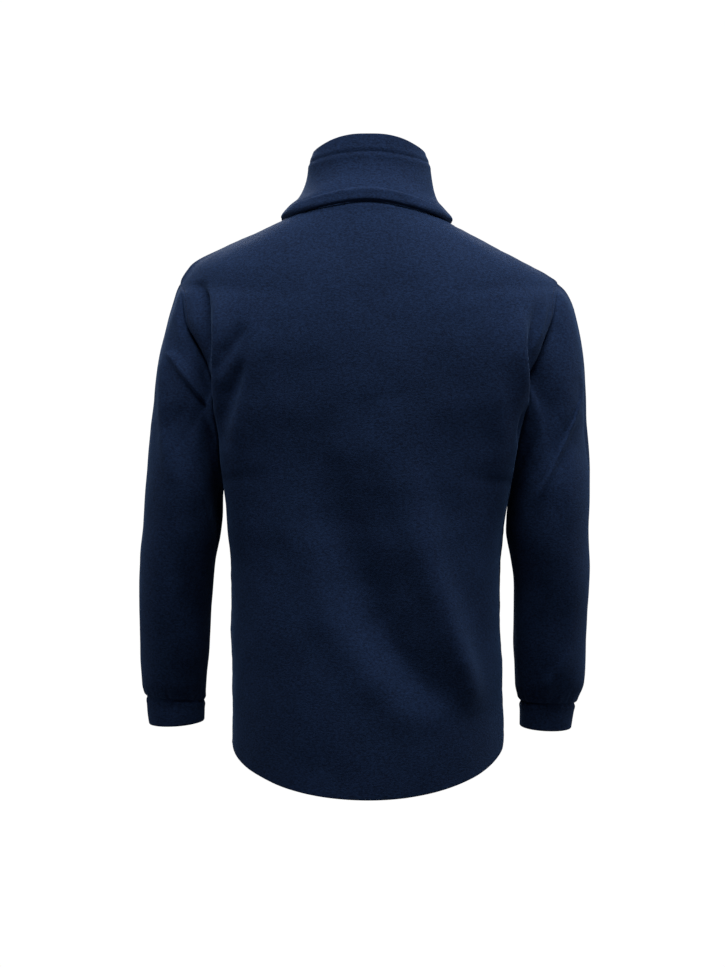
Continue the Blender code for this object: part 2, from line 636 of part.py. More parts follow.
def share_seam_normals(pieces):
    """Where two pieces meet, both walls take the mean of their normals, so that their ends lie
    face to face. Where the cloth doubles back on itself each keeps its own."""
    lines = [piece.grid.reshape(-1, 3) for piece in pieces]
    facing = [piece.normals.reshape(-1, 3) for piece in pieces]
    shared = [own.copy() for own in facing]
    tree = KDTree(sum(len(line) for line in lines))
    places = [(k, n) for k, line in enumerate(lines) for n in range(len(line))]
    for at, (k, n) in enumerate(places):
        tree.insert(lines[k][n], at)
    tree.balance()
    for k, n in places:
        near = [places[at] for _, at, _ in tree.find_range(lines[k][n], SEAM_REACH)]
        others = [facing[other][m] for other, m in near]
        shared[k][n] = unit(sum(v * smooth((facing[k][n] @ v + 0.1) / 0.6) for v in others))
    for piece, own in zip(pieces, shared):
        piece.normals = own.reshape(piece.grid.shape)


def set_back(piece):
    """The grid with each sewn edge drawn back from its seam line."""
    grid = piece.grid.copy()
    edges = {"bottom": (0, 1), "top": (-1, -2)}
    for edge, (at, towards) in edges.items():
        if edge not in piece.free:
            grid[at] += SEAM_SETBACK * unit(piece.grid[towards] - piece.grid[at])
    if not piece.closed:
        for edge, (at, towards) in {"first": (0, 1), "last": (-1, -2)}.items():
            if edge not in piece.free:
                way = unit(piece.grid[:, towards] - piece.grid[:, at])
                grid[:, at] += SEAM_SETBACK * way
    return grid


def wall(piece):
    """The piece as a closed wall: its outer grid, the same moved in, and the four rims."""
    outer = set_back(piece)
    inner = outer - piece.normals * piece.thickness
    rows, columns = outer.shape[:2]
    mesh = bmesh.new()
    outside = [[mesh.verts.new(p) for p in line] for line in outer]
    inside = [[mesh.verts.new(p) for p in line] for line in inner]
    spans = columns if piece.closed else columns - 1
    for i in range(rows - 1):
        for j in range(spans):
            k = (j + 1) % columns
            mesh.faces.new([outside[i][j], outside[i][k], outside[i + 1][k], outside[i + 1][j]])
            mesh.faces.new([inside[i][j], inside[i + 1][j], inside[i + 1][k], inside[i][k]])
    for j in range(spans):
        k = (j + 1) % columns
        mesh.faces.new([outside[0][k], outside[0][j], inside[0][j], inside[0][k]])
        mesh.faces.new([outside[-1][j], outside[-1][k], inside[-1][k], inside[-1][j]])
    if not piece.closed:
        for i in range(rows - 1):
            mesh.faces.new([outside[i][0], outside[i + 1][0], inside[i + 1][0], inside[i][0]])
            mesh.faces.new([outside[i + 1][-1], outside[i][-1], inside[i][-1], inside[i + 1][-1]])
    bmesh.ops.triangulate(mesh, faces=mesh.faces, quad_method="SHORT_EDGE")
    return add_object(piece.name, mesh, piece.material)


# ---------------------------------------------------------------- Blender objects
def material(name, colour, roughness, metallic=0.0):
    made = bpy.data.materials.new(name)
    made.use_nodes = True
    shader = made.node_tree.nodes["Principled BSDF"]
    shader.inputs["Base Color"].default_value = (*colour, 1)
    shader.inputs["Roughness"].default_value = roughness
    shader.inputs["Metallic"].default_value = metallic
    return made


def add_object(name, mesh, surface, sharp_degrees=40):
    data = bpy.data.meshes.new(name)
    mesh.to_mesh(data)
    mesh.free()
    data.shade_smooth()
    data.set_sharp_from_angle(angle=math.radians(sharp_degrees))
    made = bpy.data.objects.new(name, data)
    made.data.materials.append(surface)
    bpy.context.scene.collection.objects.link(made)
    return made


# ---------------------------------------------------------------- zip
def zip_rows(side):
    """The front and then the collar, as lines from the side to the zip, with the cloth's
    thickness at each."""
    shares = np.linspace(0, 1, 201)
    rows = [(body_row(FRONT, side, row, shares), FLEECE) for row in BODY_ROWS]
    rows += [
        (collar_quarter(side, row, False, shares), COLLAR_CLOTH)
        for row in range(1, COLLAR.last + 1)
    ]
    return rows


class ZipLine:
    """The tapes' outer face in the middle of the front, by its length from the hem up."""

    def __init__(self):
        places, depths = [], []
        for (left, cloth), (right, _) in zip(zip_rows(LEFT), zip_rows(RIGHT)):
            places.append((left[-1, 1:] + right[-1, 1:]) / 2)
            sags = []
            for line in (left, right):
                across = np.abs(line[::-1, 0])
                sags.append(np.interp(TAPE_EDGES[-1], across, line[::-1, 1]) - places[-1][0])
            depths.append(cloth + TAPE_CLEARANCE + max(0.0, *sags))
        places, depths = np.array(places), np.array(depths)
        up = unit(np.gradient(places, axis=0))
        inward = np.column_stack([up[:, 1], -up[:, 0]])
        depths[1:-1] = np.maximum(depths[1:-1], np.maximum(depths[:-2], depths[2:]))
        self.points = places + inward * depths[:, None]
        self.lengths = np.concatenate(
            [[0], np.cumsum(np.linalg.norm(np.diff(self.points, axis=0), axis=1))]
        )
        self.total = self.lengths[-1]

    def at(self, length):
        return np.array([np.interp(length, self.lengths, self.points[:, k]) for k in (0, 1)])

    def lean(self, length):
        """The turn about X that stands a piece along the zip here."""
        up = self.at(length + 0.005) - self.at(length - 0.005)
        return math.atan2(-up[0], up[1])

    def strip(self, columns, first, last, lift):
        """A grid of the zip between two lengths, its face this far in front of the tapes'."""
        inside = self.lengths[(self.lengths > first + 0.002) & (self.lengths < last - 0.002)]
        rows = []
        for length in [first, *inside, last]:
            y, z = self.at(length)
            lean = self.lean(length)
            y, z = y - lift * math.cos(lean), z - lift * math.sin(lean)
            rows.append([(x, y, z) for x in columns])
        return np.array(rows)

    def place(self, made, length, forward=0.0):
        lean = self.lean(length)
        y, z = self.at(length)
        made.location = (0, y - forward * math.cos(lean), z - forward * math.sin(lean))
        made.rotation_euler = (lean, 0, 0)


def prism(outline, half_length, axis):
    """A closed prism of an outline of points (a, b), along Z or, with axis X, along X."""
    mesh = bmesh.new()
    low = [mesh.verts.new(spot(a, b, -half_length, axis)) for a, b in outline]
    bottom = mesh.faces.new(low)
    grown = bmesh.ops.extrude_face_region(mesh, geom=[bottom])
    top = [v for v in grown["geom"] if isinstance(v, bmesh.types.BMVert)]
    way = (2 * half_length, 0, 0) if axis == "X" else (0, 0, 2 * half_length)
    bmesh.ops.translate(mesh, verts=top, vec=way)
    bmesh.ops.recalc_face_normals(mesh, faces=mesh.faces)
    return mesh


def spot(a, b, c, axis):
    return (c, a, b) if axis == "X" else (a, b, c)


def plates(name, size, surface):
    """The slider's or the box's two plates and the web between them. Its own -Y faces out."""
    wide, web = size["half_width"], WEB_HALF_WIDTH
    near, front = -size["lift"], -size["lift"] - size["plate"]
    back, rear = PLATE_BACK, PLATE_BACK + size["plate"]
    half = [(wide, front), (wide, near), (web, near), (web, back), (wide, back), (wide, rear)]
    outline = half + [(-x, y) for x, y in reversed(half)]
    return add_object(name, prism(outline, size["length"] / 2, "Z"), surface)


def bail_mesh():
    """The slider's bridge over the pull's bar, an arch in the YZ plane, sunk into the plate."""
    plate = SLIDER["lift"] + SLIDER["plate"]
    foot, under = -(plate - SLIDER["plate"] / 2), -(plate + BAIL_CLEAR_HEIGHT)
    over = under - BAIL_THICKNESS
    inner, outer = BAIL_HALF_OPENING, BAIL_HALF_OPENING + BAIL_THICKNESS
    half = [(foot, outer), (over + BAIL_THICKNESS / 2, outer), (over, inner)]
    outline = half + [(y, -z) for y, z in reversed(half)]
    outline += [(foot, -inner), (under, -inner), (under, inner), (foot, inner)]
    return prism(outline, BAIL_HALF_WIDTH, "X")


def pull_mesh():
    """The pull tab hanging down from its bar, which is on the object's X axis."""
    wide, bar = PULL_HALF_WIDTH, PULL_BAR / 2
    turns = [math.pi * k / PULL_ROUNDING for k in range(PULL_ROUNDING + 1)]
    end = [(wide * math.cos(t), wide - PULL_LENGTH - wide * math.sin(t)) for t in turns]
    eye_bottom = -bar - EYE_LENGTH
    eye = [(EYE_HALF_WIDTH, -bar), (EYE_HALF_WIDTH, eye_bottom)]
    mesh = bmesh.new()
    for loop in ([(-wide, bar), (wide, bar), *end], eye + [(-x, z) for x, z in reversed(eye)]):
        line = [mesh.verts.new((x, -PULL_HALF_THICKNESS, z)) for x, z in loop]
        for a, b in zip(line, line[1:] + line[:1]):
            mesh.edges.new((a, b))
    faces = bmesh.ops.triangle_fill(mesh, edges=mesh.edges, use_beauty=True)["geom"]
    faces = [f for f in faces if isinstance(f, bmesh.types.BMFace)]
    grown = bmesh.ops.extrude_face_region(mesh, geom=faces)
    back = [v for v in grown["geom"] if isinstance(v, bmesh.types.BMVert)]
    bmesh.ops.translate(mesh, verts=back, vec=(0, 2 * PULL_HALF_THICKNESS, 0))
    bmesh.ops.recalc_face_normals(mesh, faces=mesh.faces)
    return mesh


def make_zip(tape, coil, metal):
    line = ZipLine()
    low, high = TAPE_ENDS[0], line.total - TAPE_ENDS[1]
    for side, name in ((LEFT, "left"), (RIGHT, "right")):
        columns = sorted(side * x for x in TAPE_EDGES)
        grid = line.strip(columns, low, high, 0.0)
        wall(Piece("zip_tape_" + name, grid, TAPE_THICKNESS, tape, free=ALL_EDGES))
    slider_at = high - SLIDER_FROM_TOP
    box_at = low - BOX_OVERHANG + BOX["length"] / 2
    chain_low = box_at + BOX["length"] / 2 + CHAIN_CLEARANCE
    chain_high = slider_at - SLIDER["length"] / 2 - CHAIN_CLEARANCE
    columns = (-CHAIN_HALF_WIDTH, CHAIN_HALF_WIDTH)
    grid = line.strip(columns, chain_low, chain_high, CHAIN_CLEARANCE + CHAIN_THICKNESS)
    wall(Piece("zip_chain", grid, CHAIN_THICKNESS, coil, free=ALL_EDGES))
    line.place(plates("zip_box", BOX, coil), box_at)

    slider = plates("zip_slider", SLIDER, metal)
    bail = add_object("zip_bail_helper", bail_mesh(), metal)
    bail.hide_render = True
    bail.display_type = "WIRE"
    bail.parent = slider
    join = slider.modifiers.new("bail", "BOOLEAN")
    join.operation = "UNION"
    join.object = bail
    line.place(slider, slider_at)
    pull = add_object("zip_pull", pull_mesh(), metal)
    line.place(pull, slider_at, SLIDER["lift"] + SLIDER["plate"] + PIVOT_HEIGHT)


def main():
    for old in list(bpy.data.objects):
        bpy.data.objects.remove(old)
    fleece = material("fleece", (0.020, 0.030, 0.075), 0.95)
    pieces = [
        Piece("back", back_grid(), FLEECE, fleece, free=("bottom",)),
        Piece("front_left", front_grid(LEFT), FLEECE, fleece, free=("bottom", "first")),
        Piece("front_right", front_grid(RIGHT), FLEECE, fleece, free=("bottom", "last")),
    ]
    for side, name in ((LEFT, "left"), (RIGHT, "right")):
        rings = sleeve_rings(side, [float(r) for r in range(SLEEVES[side].last + 1)])
        rings = rings[::-1] if side == LEFT else rings[::-1, ::-1]
        pieces.append(Piece("sleeve_" + name, rings, FLEECE, fleece, closed=True))
        cuff = cuff_rings(side, rings.shape[1])
        cuff = cuff[::-1] if side == LEFT else cuff[::-1, ::-1]
        pieces.append(
            Piece("cuff_" + name, cuff, CUFF_CLOTH, fleece, closed=True, free=("bottom",))
        )
    rings = np.array([collar_ring(row) for row in range(COLLAR.last + 1)])[:, ::-1]
    lower, band = rings[: BAND_ROW + 1], rings[BAND_ROW:]
    pieces.append(Piece("collar", lower, COLLAR_CLOTH, fleece, free=("first", "last")))
    pieces.append(Piece("collar_band", band, COLLAR_CLOTH, fleece, free=("first", "last", "top")))
    share_seam_normals(pieces)
    for piece in pieces:
        wall(piece)
    make_zip(
        material("zip tape", (0.012, 0.016, 0.034), 0.85),
        material("zip coil", (0.010, 0.013, 0.028), 0.45),
        material("zip metal", (0.016, 0.018, 0.026), 0.35, 0.6),
    )


main()
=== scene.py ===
"""Looks of the fleece zip jacket: an add-on's operators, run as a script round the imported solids.

The cloth is rebuilt as fine sheets on the form of its solids, from the same cut and the same
folds, with finer folds, seams, sewing and pile. The zip gets its teeth, slider, pull tab and box.
Metres, +Z up, the jacket faces -Y and the wearer's left is +X. Tables are in millimetres.
"""

import functools
import json
import math

import bmesh
import bpy
import numpy as np
from bpy.props import FloatProperty, FloatVectorProperty, PointerProperty
from mathutils import Matrix, Vector
from mathutils.kdtree import KDTree


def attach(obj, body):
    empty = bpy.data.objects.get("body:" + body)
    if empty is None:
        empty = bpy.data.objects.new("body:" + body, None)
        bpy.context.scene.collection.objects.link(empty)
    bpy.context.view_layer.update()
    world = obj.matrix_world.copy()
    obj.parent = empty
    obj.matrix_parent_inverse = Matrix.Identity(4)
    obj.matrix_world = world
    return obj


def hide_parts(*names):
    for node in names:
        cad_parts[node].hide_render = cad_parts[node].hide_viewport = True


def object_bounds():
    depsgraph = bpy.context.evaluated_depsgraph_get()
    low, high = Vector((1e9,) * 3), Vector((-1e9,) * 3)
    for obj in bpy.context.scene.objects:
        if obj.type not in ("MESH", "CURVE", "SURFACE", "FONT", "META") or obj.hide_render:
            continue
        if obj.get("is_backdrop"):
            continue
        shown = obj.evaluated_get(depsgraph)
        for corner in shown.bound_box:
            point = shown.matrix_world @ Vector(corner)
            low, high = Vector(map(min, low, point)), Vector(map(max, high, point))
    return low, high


bl_info = {
    "name": "Fleece Zip Jacket",
    "version": (1, 0, 0),
    "blender": (4, 5, 0),
    "location": "3D View > Sidebar > Jacket",
    "description": "Builds the cloth, the sewing and the zip of a fleece jacket",
    "category": "Add Mesh",
}

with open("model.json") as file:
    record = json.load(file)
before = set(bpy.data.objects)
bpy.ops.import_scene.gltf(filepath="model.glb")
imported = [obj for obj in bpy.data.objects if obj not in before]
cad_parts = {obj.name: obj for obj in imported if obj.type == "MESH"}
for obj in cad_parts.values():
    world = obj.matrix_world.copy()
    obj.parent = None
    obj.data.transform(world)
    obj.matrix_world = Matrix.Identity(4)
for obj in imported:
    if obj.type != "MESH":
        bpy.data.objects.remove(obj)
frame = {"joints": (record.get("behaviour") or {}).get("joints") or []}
CAD_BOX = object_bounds()
PIVOT = Vector(frame["joints"][0]["pos_m"])
JACKET, PULL_TAB = "jacket", "pull_tab"
LEFT, RIGHT = 1, -1     # the wearer's sides, as signs of X
SIDE_NAMES = {LEFT: "left", RIGHT: "right"}

# ---------------------------------------------------------------- the cut
FRONT_EDGE = 0.0055     # half the opening that the zip fills
BODY_HALF_WIDTH, BODY_HALF_DEPTH = 0.18, 0.13   # the ellipse whose normals the folds follow
FLEECE, COLLAR_CLOTH, CUFF_CLOTH = 0.0025, 0.0042, 0.0042   # a layer, and two
SEAM_REACH = 0.0004     # edge points this near each other are sewn together
DOUBLED_BACK, ALIKE = -0.1, 0.5     # cosines between normals that share nothing, and all
SLEEVE_CLEARANCE = 0.0002
NOT_LENGTHS = ("turn", "broad", "even")


class Table:
    """A short table with named columns, read between its rows along a smooth curve."""

    def __init__(self, columns, rows):
        self.columns = columns
        self.values = np.array(rows, float)
        self.values /= [1 if name in NOT_LENGTHS else 1000 for name in columns]
        self.last = len(rows) - 1

    def at(self, column, row):
        """Monotone cubic through the column, so that nothing swings past its rows."""
        y = self.values[:, self.columns.index(column)]
        step = np.diff(y)
        slope = np.zeros(len(y))
        both = step[:-1] * step[1:] > 0
        slope[1:-1][both] = 2 * step[:-1][both] * step[1:][both] / (step[:-1] + step[1:])[both]
        slope[0], slope[-1] = step[0], step[-1]
        i = min(max(int(math.floor(row)), 0), self.last - 1)
        t = row - i
        return (
            y[i] * (1 + 2 * t) * (1 - t) ** 2
            + slope[i] * t * (1 - t) ** 2
            + y[i + 1] * t * t * (3 - 2 * t)
            + slope[i + 1] * t * t * (t - 1)
        )


# Seams at the sides, from the hem up: side seam, armhole, shoulder seam. scoop is how much
# nearer the middle the front's edge is. Rows 5 to 12 are the armhole.
ARMPIT_ROW, SHOULDER_ROW = 5, 12
SIDES = Table(("z_left", "z_right", "x_left", "x_right", "y_back", "y_front", "scoop"), [
    (-680.5, -680.5, 175.5, 175.5, 0, 0, 0),
    (-600, -600, 175.5, 175.5, 0, 0, 0),
    (-530, -530, 176.8, 171.8, 0, 0, 0),
    (-460, -460, 176.8, 172.2, 0, 0, 0),
    (-400, -400, 180.5, 176.5, 0, 0, 0),
    (-350, -352, 184, 181.5, 0, 0, 0),
    (-334, -336, 182.5, 181.5, 25, -29, 1),
    (-296, -298, 183, 185, 46, -52, 5),
    (-240, -241, 189, 196, 58.5, -65, 10),
    (-186, -187, 209, 217.2, 58, -63, 12),
    (-138, -138, 233.5, 234.8, 46, -50, 8),
    (-101, -101, 240.2, 243.5, 26, -34, 3),
    (-86.5, -87, 244, 247.2, -7, -7, 0),
    (-64, -74, 231, 231, -7, -7, 0),
    (-34, -44, 174, 174, -7, -7, 0),
    (-5.5, -9.5, 108, 106, -7, -7, 0),
])
# The middle of the back and of the front at those rows. turn is the way that the cloth leaves
# its edge, in degrees from the X axis, lead how long it keeps that way, and broad how flat the
# middle is. even is 0 where the hem swoops and 1 where a row runs level out of its ends.
PANEL_COLUMNS = ("z", "y", "turn", "lead", "broad", "even")
BACK = Table(PANEL_COLUMNS, [
    (-743, 128, 90, 66, 0.57, 0),
    (-635, 127, 90, 74, 0.61, 0.3),
    (-542, 123, 90, 82, 0.65, 1),
    (-464, 119, 90, 88, 0.68, 1),
    (-400, 119, 89, 91, 0.7, 1),
    (-346, 122, 88, 91, 0.7, 1),
    (-318, 124, 86, 66, 0.66, 1),
    (-282, 126, 84, 52, 0.62, 1),
    (-233, 128, 82, 47, 0.63, 1),
    (-188, 127, 88, 46, 0.65, 1),
    (-150, 124, 104, 46, 0.66, 1),
    (-123, 120, 122, 52, 0.64, 1),
    (-106, 117, 108, 64, 0.63, 1),
    (-85, 112, 98, 66, 0.62, 1),
    (-43, 96, 94, 58, 0.6, 1),
    (11.8, 72.2, 90, 42, 0.56, 1),
])
FRONT = Table(PANEL_COLUMNS, [
    (-700, -125, 90, 70, 0.58, 0),
    (-614, -127, 90, 78, 0.61, 0.3),
    (-536, -129, 90, 86, 0.64, 1),
    (-463, -132, 90, 94, 0.66, 1),
    (-402, -136, 90, 100, 0.68, 1),
    (-349, -141, 89, 102, 0.68, 1),
    (-327, -143, 87, 74, 0.64, 1),
    (-296, -143, 85, 56, 0.61, 1),
    (-256, -142, 85, 50, 0.6, 1),
    (-220, -139, 92, 50, 0.6, 1),
    (-190, -134, 106, 52, 0.6, 1),
    (-170, -129, 118, 56, 0.6, 1),
    (-157, -125, 106, 66, 0.59, 1),
    (-141, -119, 98, 66, 0.58, 1),
    (-105, -105, 94, 56, 0.56, 1),
    (-62, -87, 90, 46, 0.54, 1),
])
# The sleeves, from the armhole down: the outer and the inner line of each as seen from behind,
# the middle's Y and half the depth. The last row is the seam with the cuff.
SLEEVE_COLUMNS = ("x_out", "z_out", "x_in", "z_in", "y", "half_depth")
SLEEVES = {
    LEFT: Table(SLEEVE_COLUMNS, [
        (245, -86.5, 184, -350, -2, 64),
        (250, -97, 185, -351.5, -2, 67),
        (256.5, -121, 185.6, -353, -2, 70),
        (264, -151, 186, -354.5, -2, 72),
        (271.5, -184, 186.4, -356.5, -3, 74),
        (276.5, -220, 186.7, -359, -3, 75),
        (280.5, -262, 187, -363, -4, 75),
        (285, -308, 187.5, -371, -4, 74),
        (289, -356, 188.5, -388, -5, 72),
        (292.2, -402, 192, -415, -6, 69),
        (296, -447, 198, -449, -9, 65),
        (297.7, -495, 201.5, -492, -14, 60),
        (297.7, -540, 206, -536, -20, 55),
        (297.2, -580, 208.7, -580, -26, 50),
        (295.5, -610, 211.8, -613, -30, 45),
        (289.5, -625.5, 214, -631, -32, 37),
    ]),
    RIGHT: Table(SLEEVE_COLUMNS, [
        (246.5, -87, 181.5, -352, -2, 64),
        (255.5, -95, 182.2, -353.5, -2, 67),
        (267, -116, 182.6, -355, -2, 70),
        (275, -145, 182.8, -357, -2, 72),
        (281, -180, 182.9, -360, -3, 74),
        (283.5, -216, 182.9, -364, -3, 75),
        (285.7, -258, 182.7, -369, -4, 75),
        (288.7, -306, 182.2, -376, -4, 74),
        (289.6, -356, 181.2, -388, -5, 72),
        (288.9, -402, 180.8, -408, -6, 69),
        (288.8, -447, 186.8, -445, -9, 65),
        (288.5, -492, 191, -488, -14, 60),
        (286.5, -536, 191.2, -532, -20, 56),
        (285.8, -580, 191.5, -574, -26, 53),
        (284, -608, 192.5, -610, -30, 48),
        (272, -635, 200, -632, -32, 36),
    ]),
}
SLEEVE_SETTLES_BY = 7   # the armhole's own shape has gone by this ring
CUFFS = {
    LEFT: Table(SLEEVE_COLUMNS, [
        (289.5, -625.5, 214, -631, -32, 37),
        (288.5, -643, 214.1, -644, -33, 37),
        (286.5, -662, 214.4, -658, -34, 36),
    ]),
    RIGHT: Table(SLEEVE_COLUMNS, [
        (272, -635, 200, -632, -32, 36),
        (270, -651, 200.3, -648, -33, 36),
        (267.5, -668, 200.5, -665, -34, 35),
    ]),
}

# The stand collar, from the neck seam up. The rows up to BAND_ROW are the collar, the rest its
# top band. At the sides and the back the first rows roll out over the seam.
BAND_ROW = 6
COLLAR_COLUMNS = (
    "x_left", "x_right", "z_side", "y_side", "z_back", "y_back", "z_front", "y_front",
)
COLLAR = Table(COLLAR_COLUMNS, [
    (108, 106, -6, -7, 11.8, 72.2, -62, -87),
    (112.5, 110.2, 0.8, -8, 14.2, 72.6, -52, -89.5),
    (104.5, 101, 12, -10, 25, 71.8, -40, -90.5),
    (93, 92, 22, -12, 40, 64, -26, -90),
    (86, 88, 33, -13, 52, 56, -11, -89),
    (80, 84.5, 49, -14, 66, 50, 6, -88),
    (76, 80.5, 70, -14, 79, 47, 21, -87),
    (73.8, 78, 76.5, -14, 91, 45, 31, -86.5),
    (71.2, 75.5, 85, -14, 103, 42, 41, -86),
])
COLLAR_REACH = 0.56     # Bezier handle of a quarter of an ellipse, a little squared
COLLAR_DROPS = {LEFT: 0.0, RIGHT: 0.0036}   # how much lower the first rows end at a side
DROP_ENDS = (4, 1)      # the row where such a drop has gone, and the last where it is whole
BAND_SHARPENS = 0.5     # how much later the band's rows turn down to the side

# Folds, as seen square from behind or in front, each from its top down: where its crest runs,
# how far it spreads on the +X and on the -X side, and how high it stands (a trough is below 0).
FOLD_COLUMNS = ("x", "z", "wide_plus", "wide_minus", "height")
ON_BACK, ON_FRONT = 1, -1


def folds(face, *lines):
    """The folds on one face of the body or the sleeves, each with that face."""
    return [(face, Table(FOLD_COLUMNS, rows)) for rows in lines]


BODY_FOLDS = folds(
    ON_BACK,
    # the long slack across the back
    [(86, -160, 50, 34, 0), (74, -240, 50, 34, -3), (60, -320, 48, 34, -5.6),
     (44, -370, 46, 33, -7.8), (24, -425, 44, 30, -11.8), (4, -470, 42, 28, -15),
     (-16, -518, 40, 26, -17.6), (-34, -552, 36, 24, -16.6), (-57, -586, 30, 22, -12),
     (-78, -612, 26, 20, -6), (-96, -636, 24, 20, 0)],
    # the swell beside it
    [(-20, -240, 34, 34, 0), (-34, -310, 32, 34, 4), (-52, -370, 30, 32, 8.6),
     (-67, -428, 28, 28, 13), (-83, -486, 26, 24, 16.6), (-100, -534, 24, 22, 17.6),
     (-114, -572, 22, 20, 15.6), (-128, -606, 20, 18, 9), (-140, -640, 18, 18, 0)],
    # the ridge on its far side
    [(78, -390, 26, 26, 0), (66, -430, 26, 26, 3.4), (58, -480, 26, 26, 5),
     (44, -520, 26, 26, 5.4), (20, -556, 26, 26, 5.4), (-10, -596, 26, 26, 4.8),
     (-40, -636, 26, 26, 3.6), (-64, -672, 26, 26, 0)],
    # the ridge inside the body's left edge
    [(129.6, -151, 10, 16, 0), (139.8, -179, 10, 16, 2.8), (150, -210, 10, 16, 4.8),
     (157, -240, 11, 16, 6.4), (160, -279, 12, 16, 8.2), (160, -330, 13, 16, 7.4),
     (160, -400, 13, 16, 3.6), (160, -470, 13, 16, 0)],
    # the ridge inside its right edge
    [(-161.7, -207, 10, 12, 0), (-165.5, -242, 11, 13, 3.2), (-165.5, -280, 12, 14, 5.6),
     (-163, -327, 12, 14, 5), (-160.5, -388, 12, 14, 2.2), (-159.2, -438, 12, 14, 0)],
    # the trough beside the right armhole
    [(-218, -114, 6, 8, 0), (-214.2, -134, 6, 8, -4.4), (-210.4, -159, 6, 8, -7),
     (-207.8, -185, 5.6, 8, -7.6), (-206.5, -210, 5, 7, -4), (-205.3, -231, 5, 6, 0)],
    # the roll behind the left armhole
    [(191.5, -104, 7, 12, 0), (189.8, -124, 5.6, 14, 5), (188.2, -150, 5, 15, 9.2),
     (187.6, -206, 4.8, 16, 12.4), (186.8, -236, 4.8, 16, 12.4), (184.6, -262, 5, 17, 11.2),
     (181.2, -290, 5.4, 18, 9.4), (179, -318, 6, 18, 8.8), (175, -352, 8, 18, 7.2),
     (171, -400, 10, 18, 3.6), (169, -450, 12, 18, 0)],
    # the drag line into its top
    [(216.5, -86, 7.5, 8, 0), (214.5, -98, 10, 7, -6), (212.5, -110, 10.5, 7, -14),
     (211, -124, 10, 7, -19.2), (209.5, -143, 8.5, 6.5, -18.4), (207.8, -164, 6, 6.5, -13.6),
     (204.3, -183, 5, 5, -7), (201.1, -202, 4, 4, -1)],
    # the roll behind the right armhole
    [(-194, -124, 14, 7, 0), (-195, -153, 16, 5.4, 7), (-194.4, -183, 18, 5, 10.4),
     (-195.2, -206, 18, 4.8, 11.8), (-195.7, -225, 18, 4.8, 12), (-194, -249, 18, 5, 11),
     (-190, -270, 18, 5.2, 9.6), (-183.8, -292, 18, 5.6, 8), (-179.2, -320, 18, 6.4, 6.6),
     (-175.5, -355, 18, 9, 4.6), (-170, -410, 18, 12, 0)],
    # a crease across its foot
    [(-194.5, -245, 2.6, 2.6, 0), (-189, -262, 2.4, 2.4, -3.6), (-185.5, -280, 2.4, 2.4, -3.6),
     (-183, -302, 2.8, 2.8, 0)],
    # two fine lines at its top
    [(-231.4, -108, 2.6, 2.6, 0), (-225.1, -136, 2.6, 2.6, 2.6), (-220, -156, 2.6, 2.6, 3.2),
     (-212.3, -177, 2.6, 2.6, 3.2), (-205.3, -198, 2.6, 2.6, 0)],
    [(-245.5, -82, 2.6, 2.6, 0), (-241, -100, 2.6, 2.6, 1.6), (-234.6, -128, 2.6, 2.6, 2.4),
     (-227, -151, 2.6, 2.6, 2.6), (-214.2, -187, 2.6, 2.6, 2.2), (-204.7, -210, 2.6, 2.6, 0)],
    # two troughs into the left roll
    [(159, -143, 5.5, 9, 0), (166.6, -161, 5.5, 9, -5.6), (176.2, -180, 5.5, 9, -7.6),
     (182.6, -200, 5.5, 9, -5), (185.8, -217, 5.5, 9, 0)],
    [(155.1, -189, 6.5, 11, 0), (162.8, -207, 6.5, 12, -5.6), (171.7, -233, 6.5, 13, -7.4),
     (177.5, -263, 6.5, 13, -6), (178.1, -307, 6.5, 12, 0)],
) + folds(
    ON_FRONT,
    # the same slack on the front, softer
    [(62, -195, 18, 18, 0), (92, -250, 18, 18, 4), (128, -310, 18, 18, 3.5),
     (150, -345, 18, 18, 0)],
    [(-66, -190, 18, 18, 0), (-98, -244, 18, 18, 4), (-132, -304, 18, 18, 3),
     (-150, -340, 18, 18, 0)],
    [(74, -320, 26, 30, 0), (92, -400, 26, 30, -5.5), (110, -500, 26, 30, -6.5),
     (122, -610, 24, 26, 0)],
    [(-62, -340, 30, 26, 0), (-80, -430, 30, 26, -6), (-106, -540, 30, 26, -6.5),
     (-124, -640, 26, 24, 0)],
    [(60, -480, 18, 18, 0), (66, -570, 18, 18, 4), (70, -650, 18, 18, 1.5)],
    [(-50, -300, 18, 18, 0), (-58, -380, 18, 18, 4), (-62, -470, 18, 18, 0)],
)
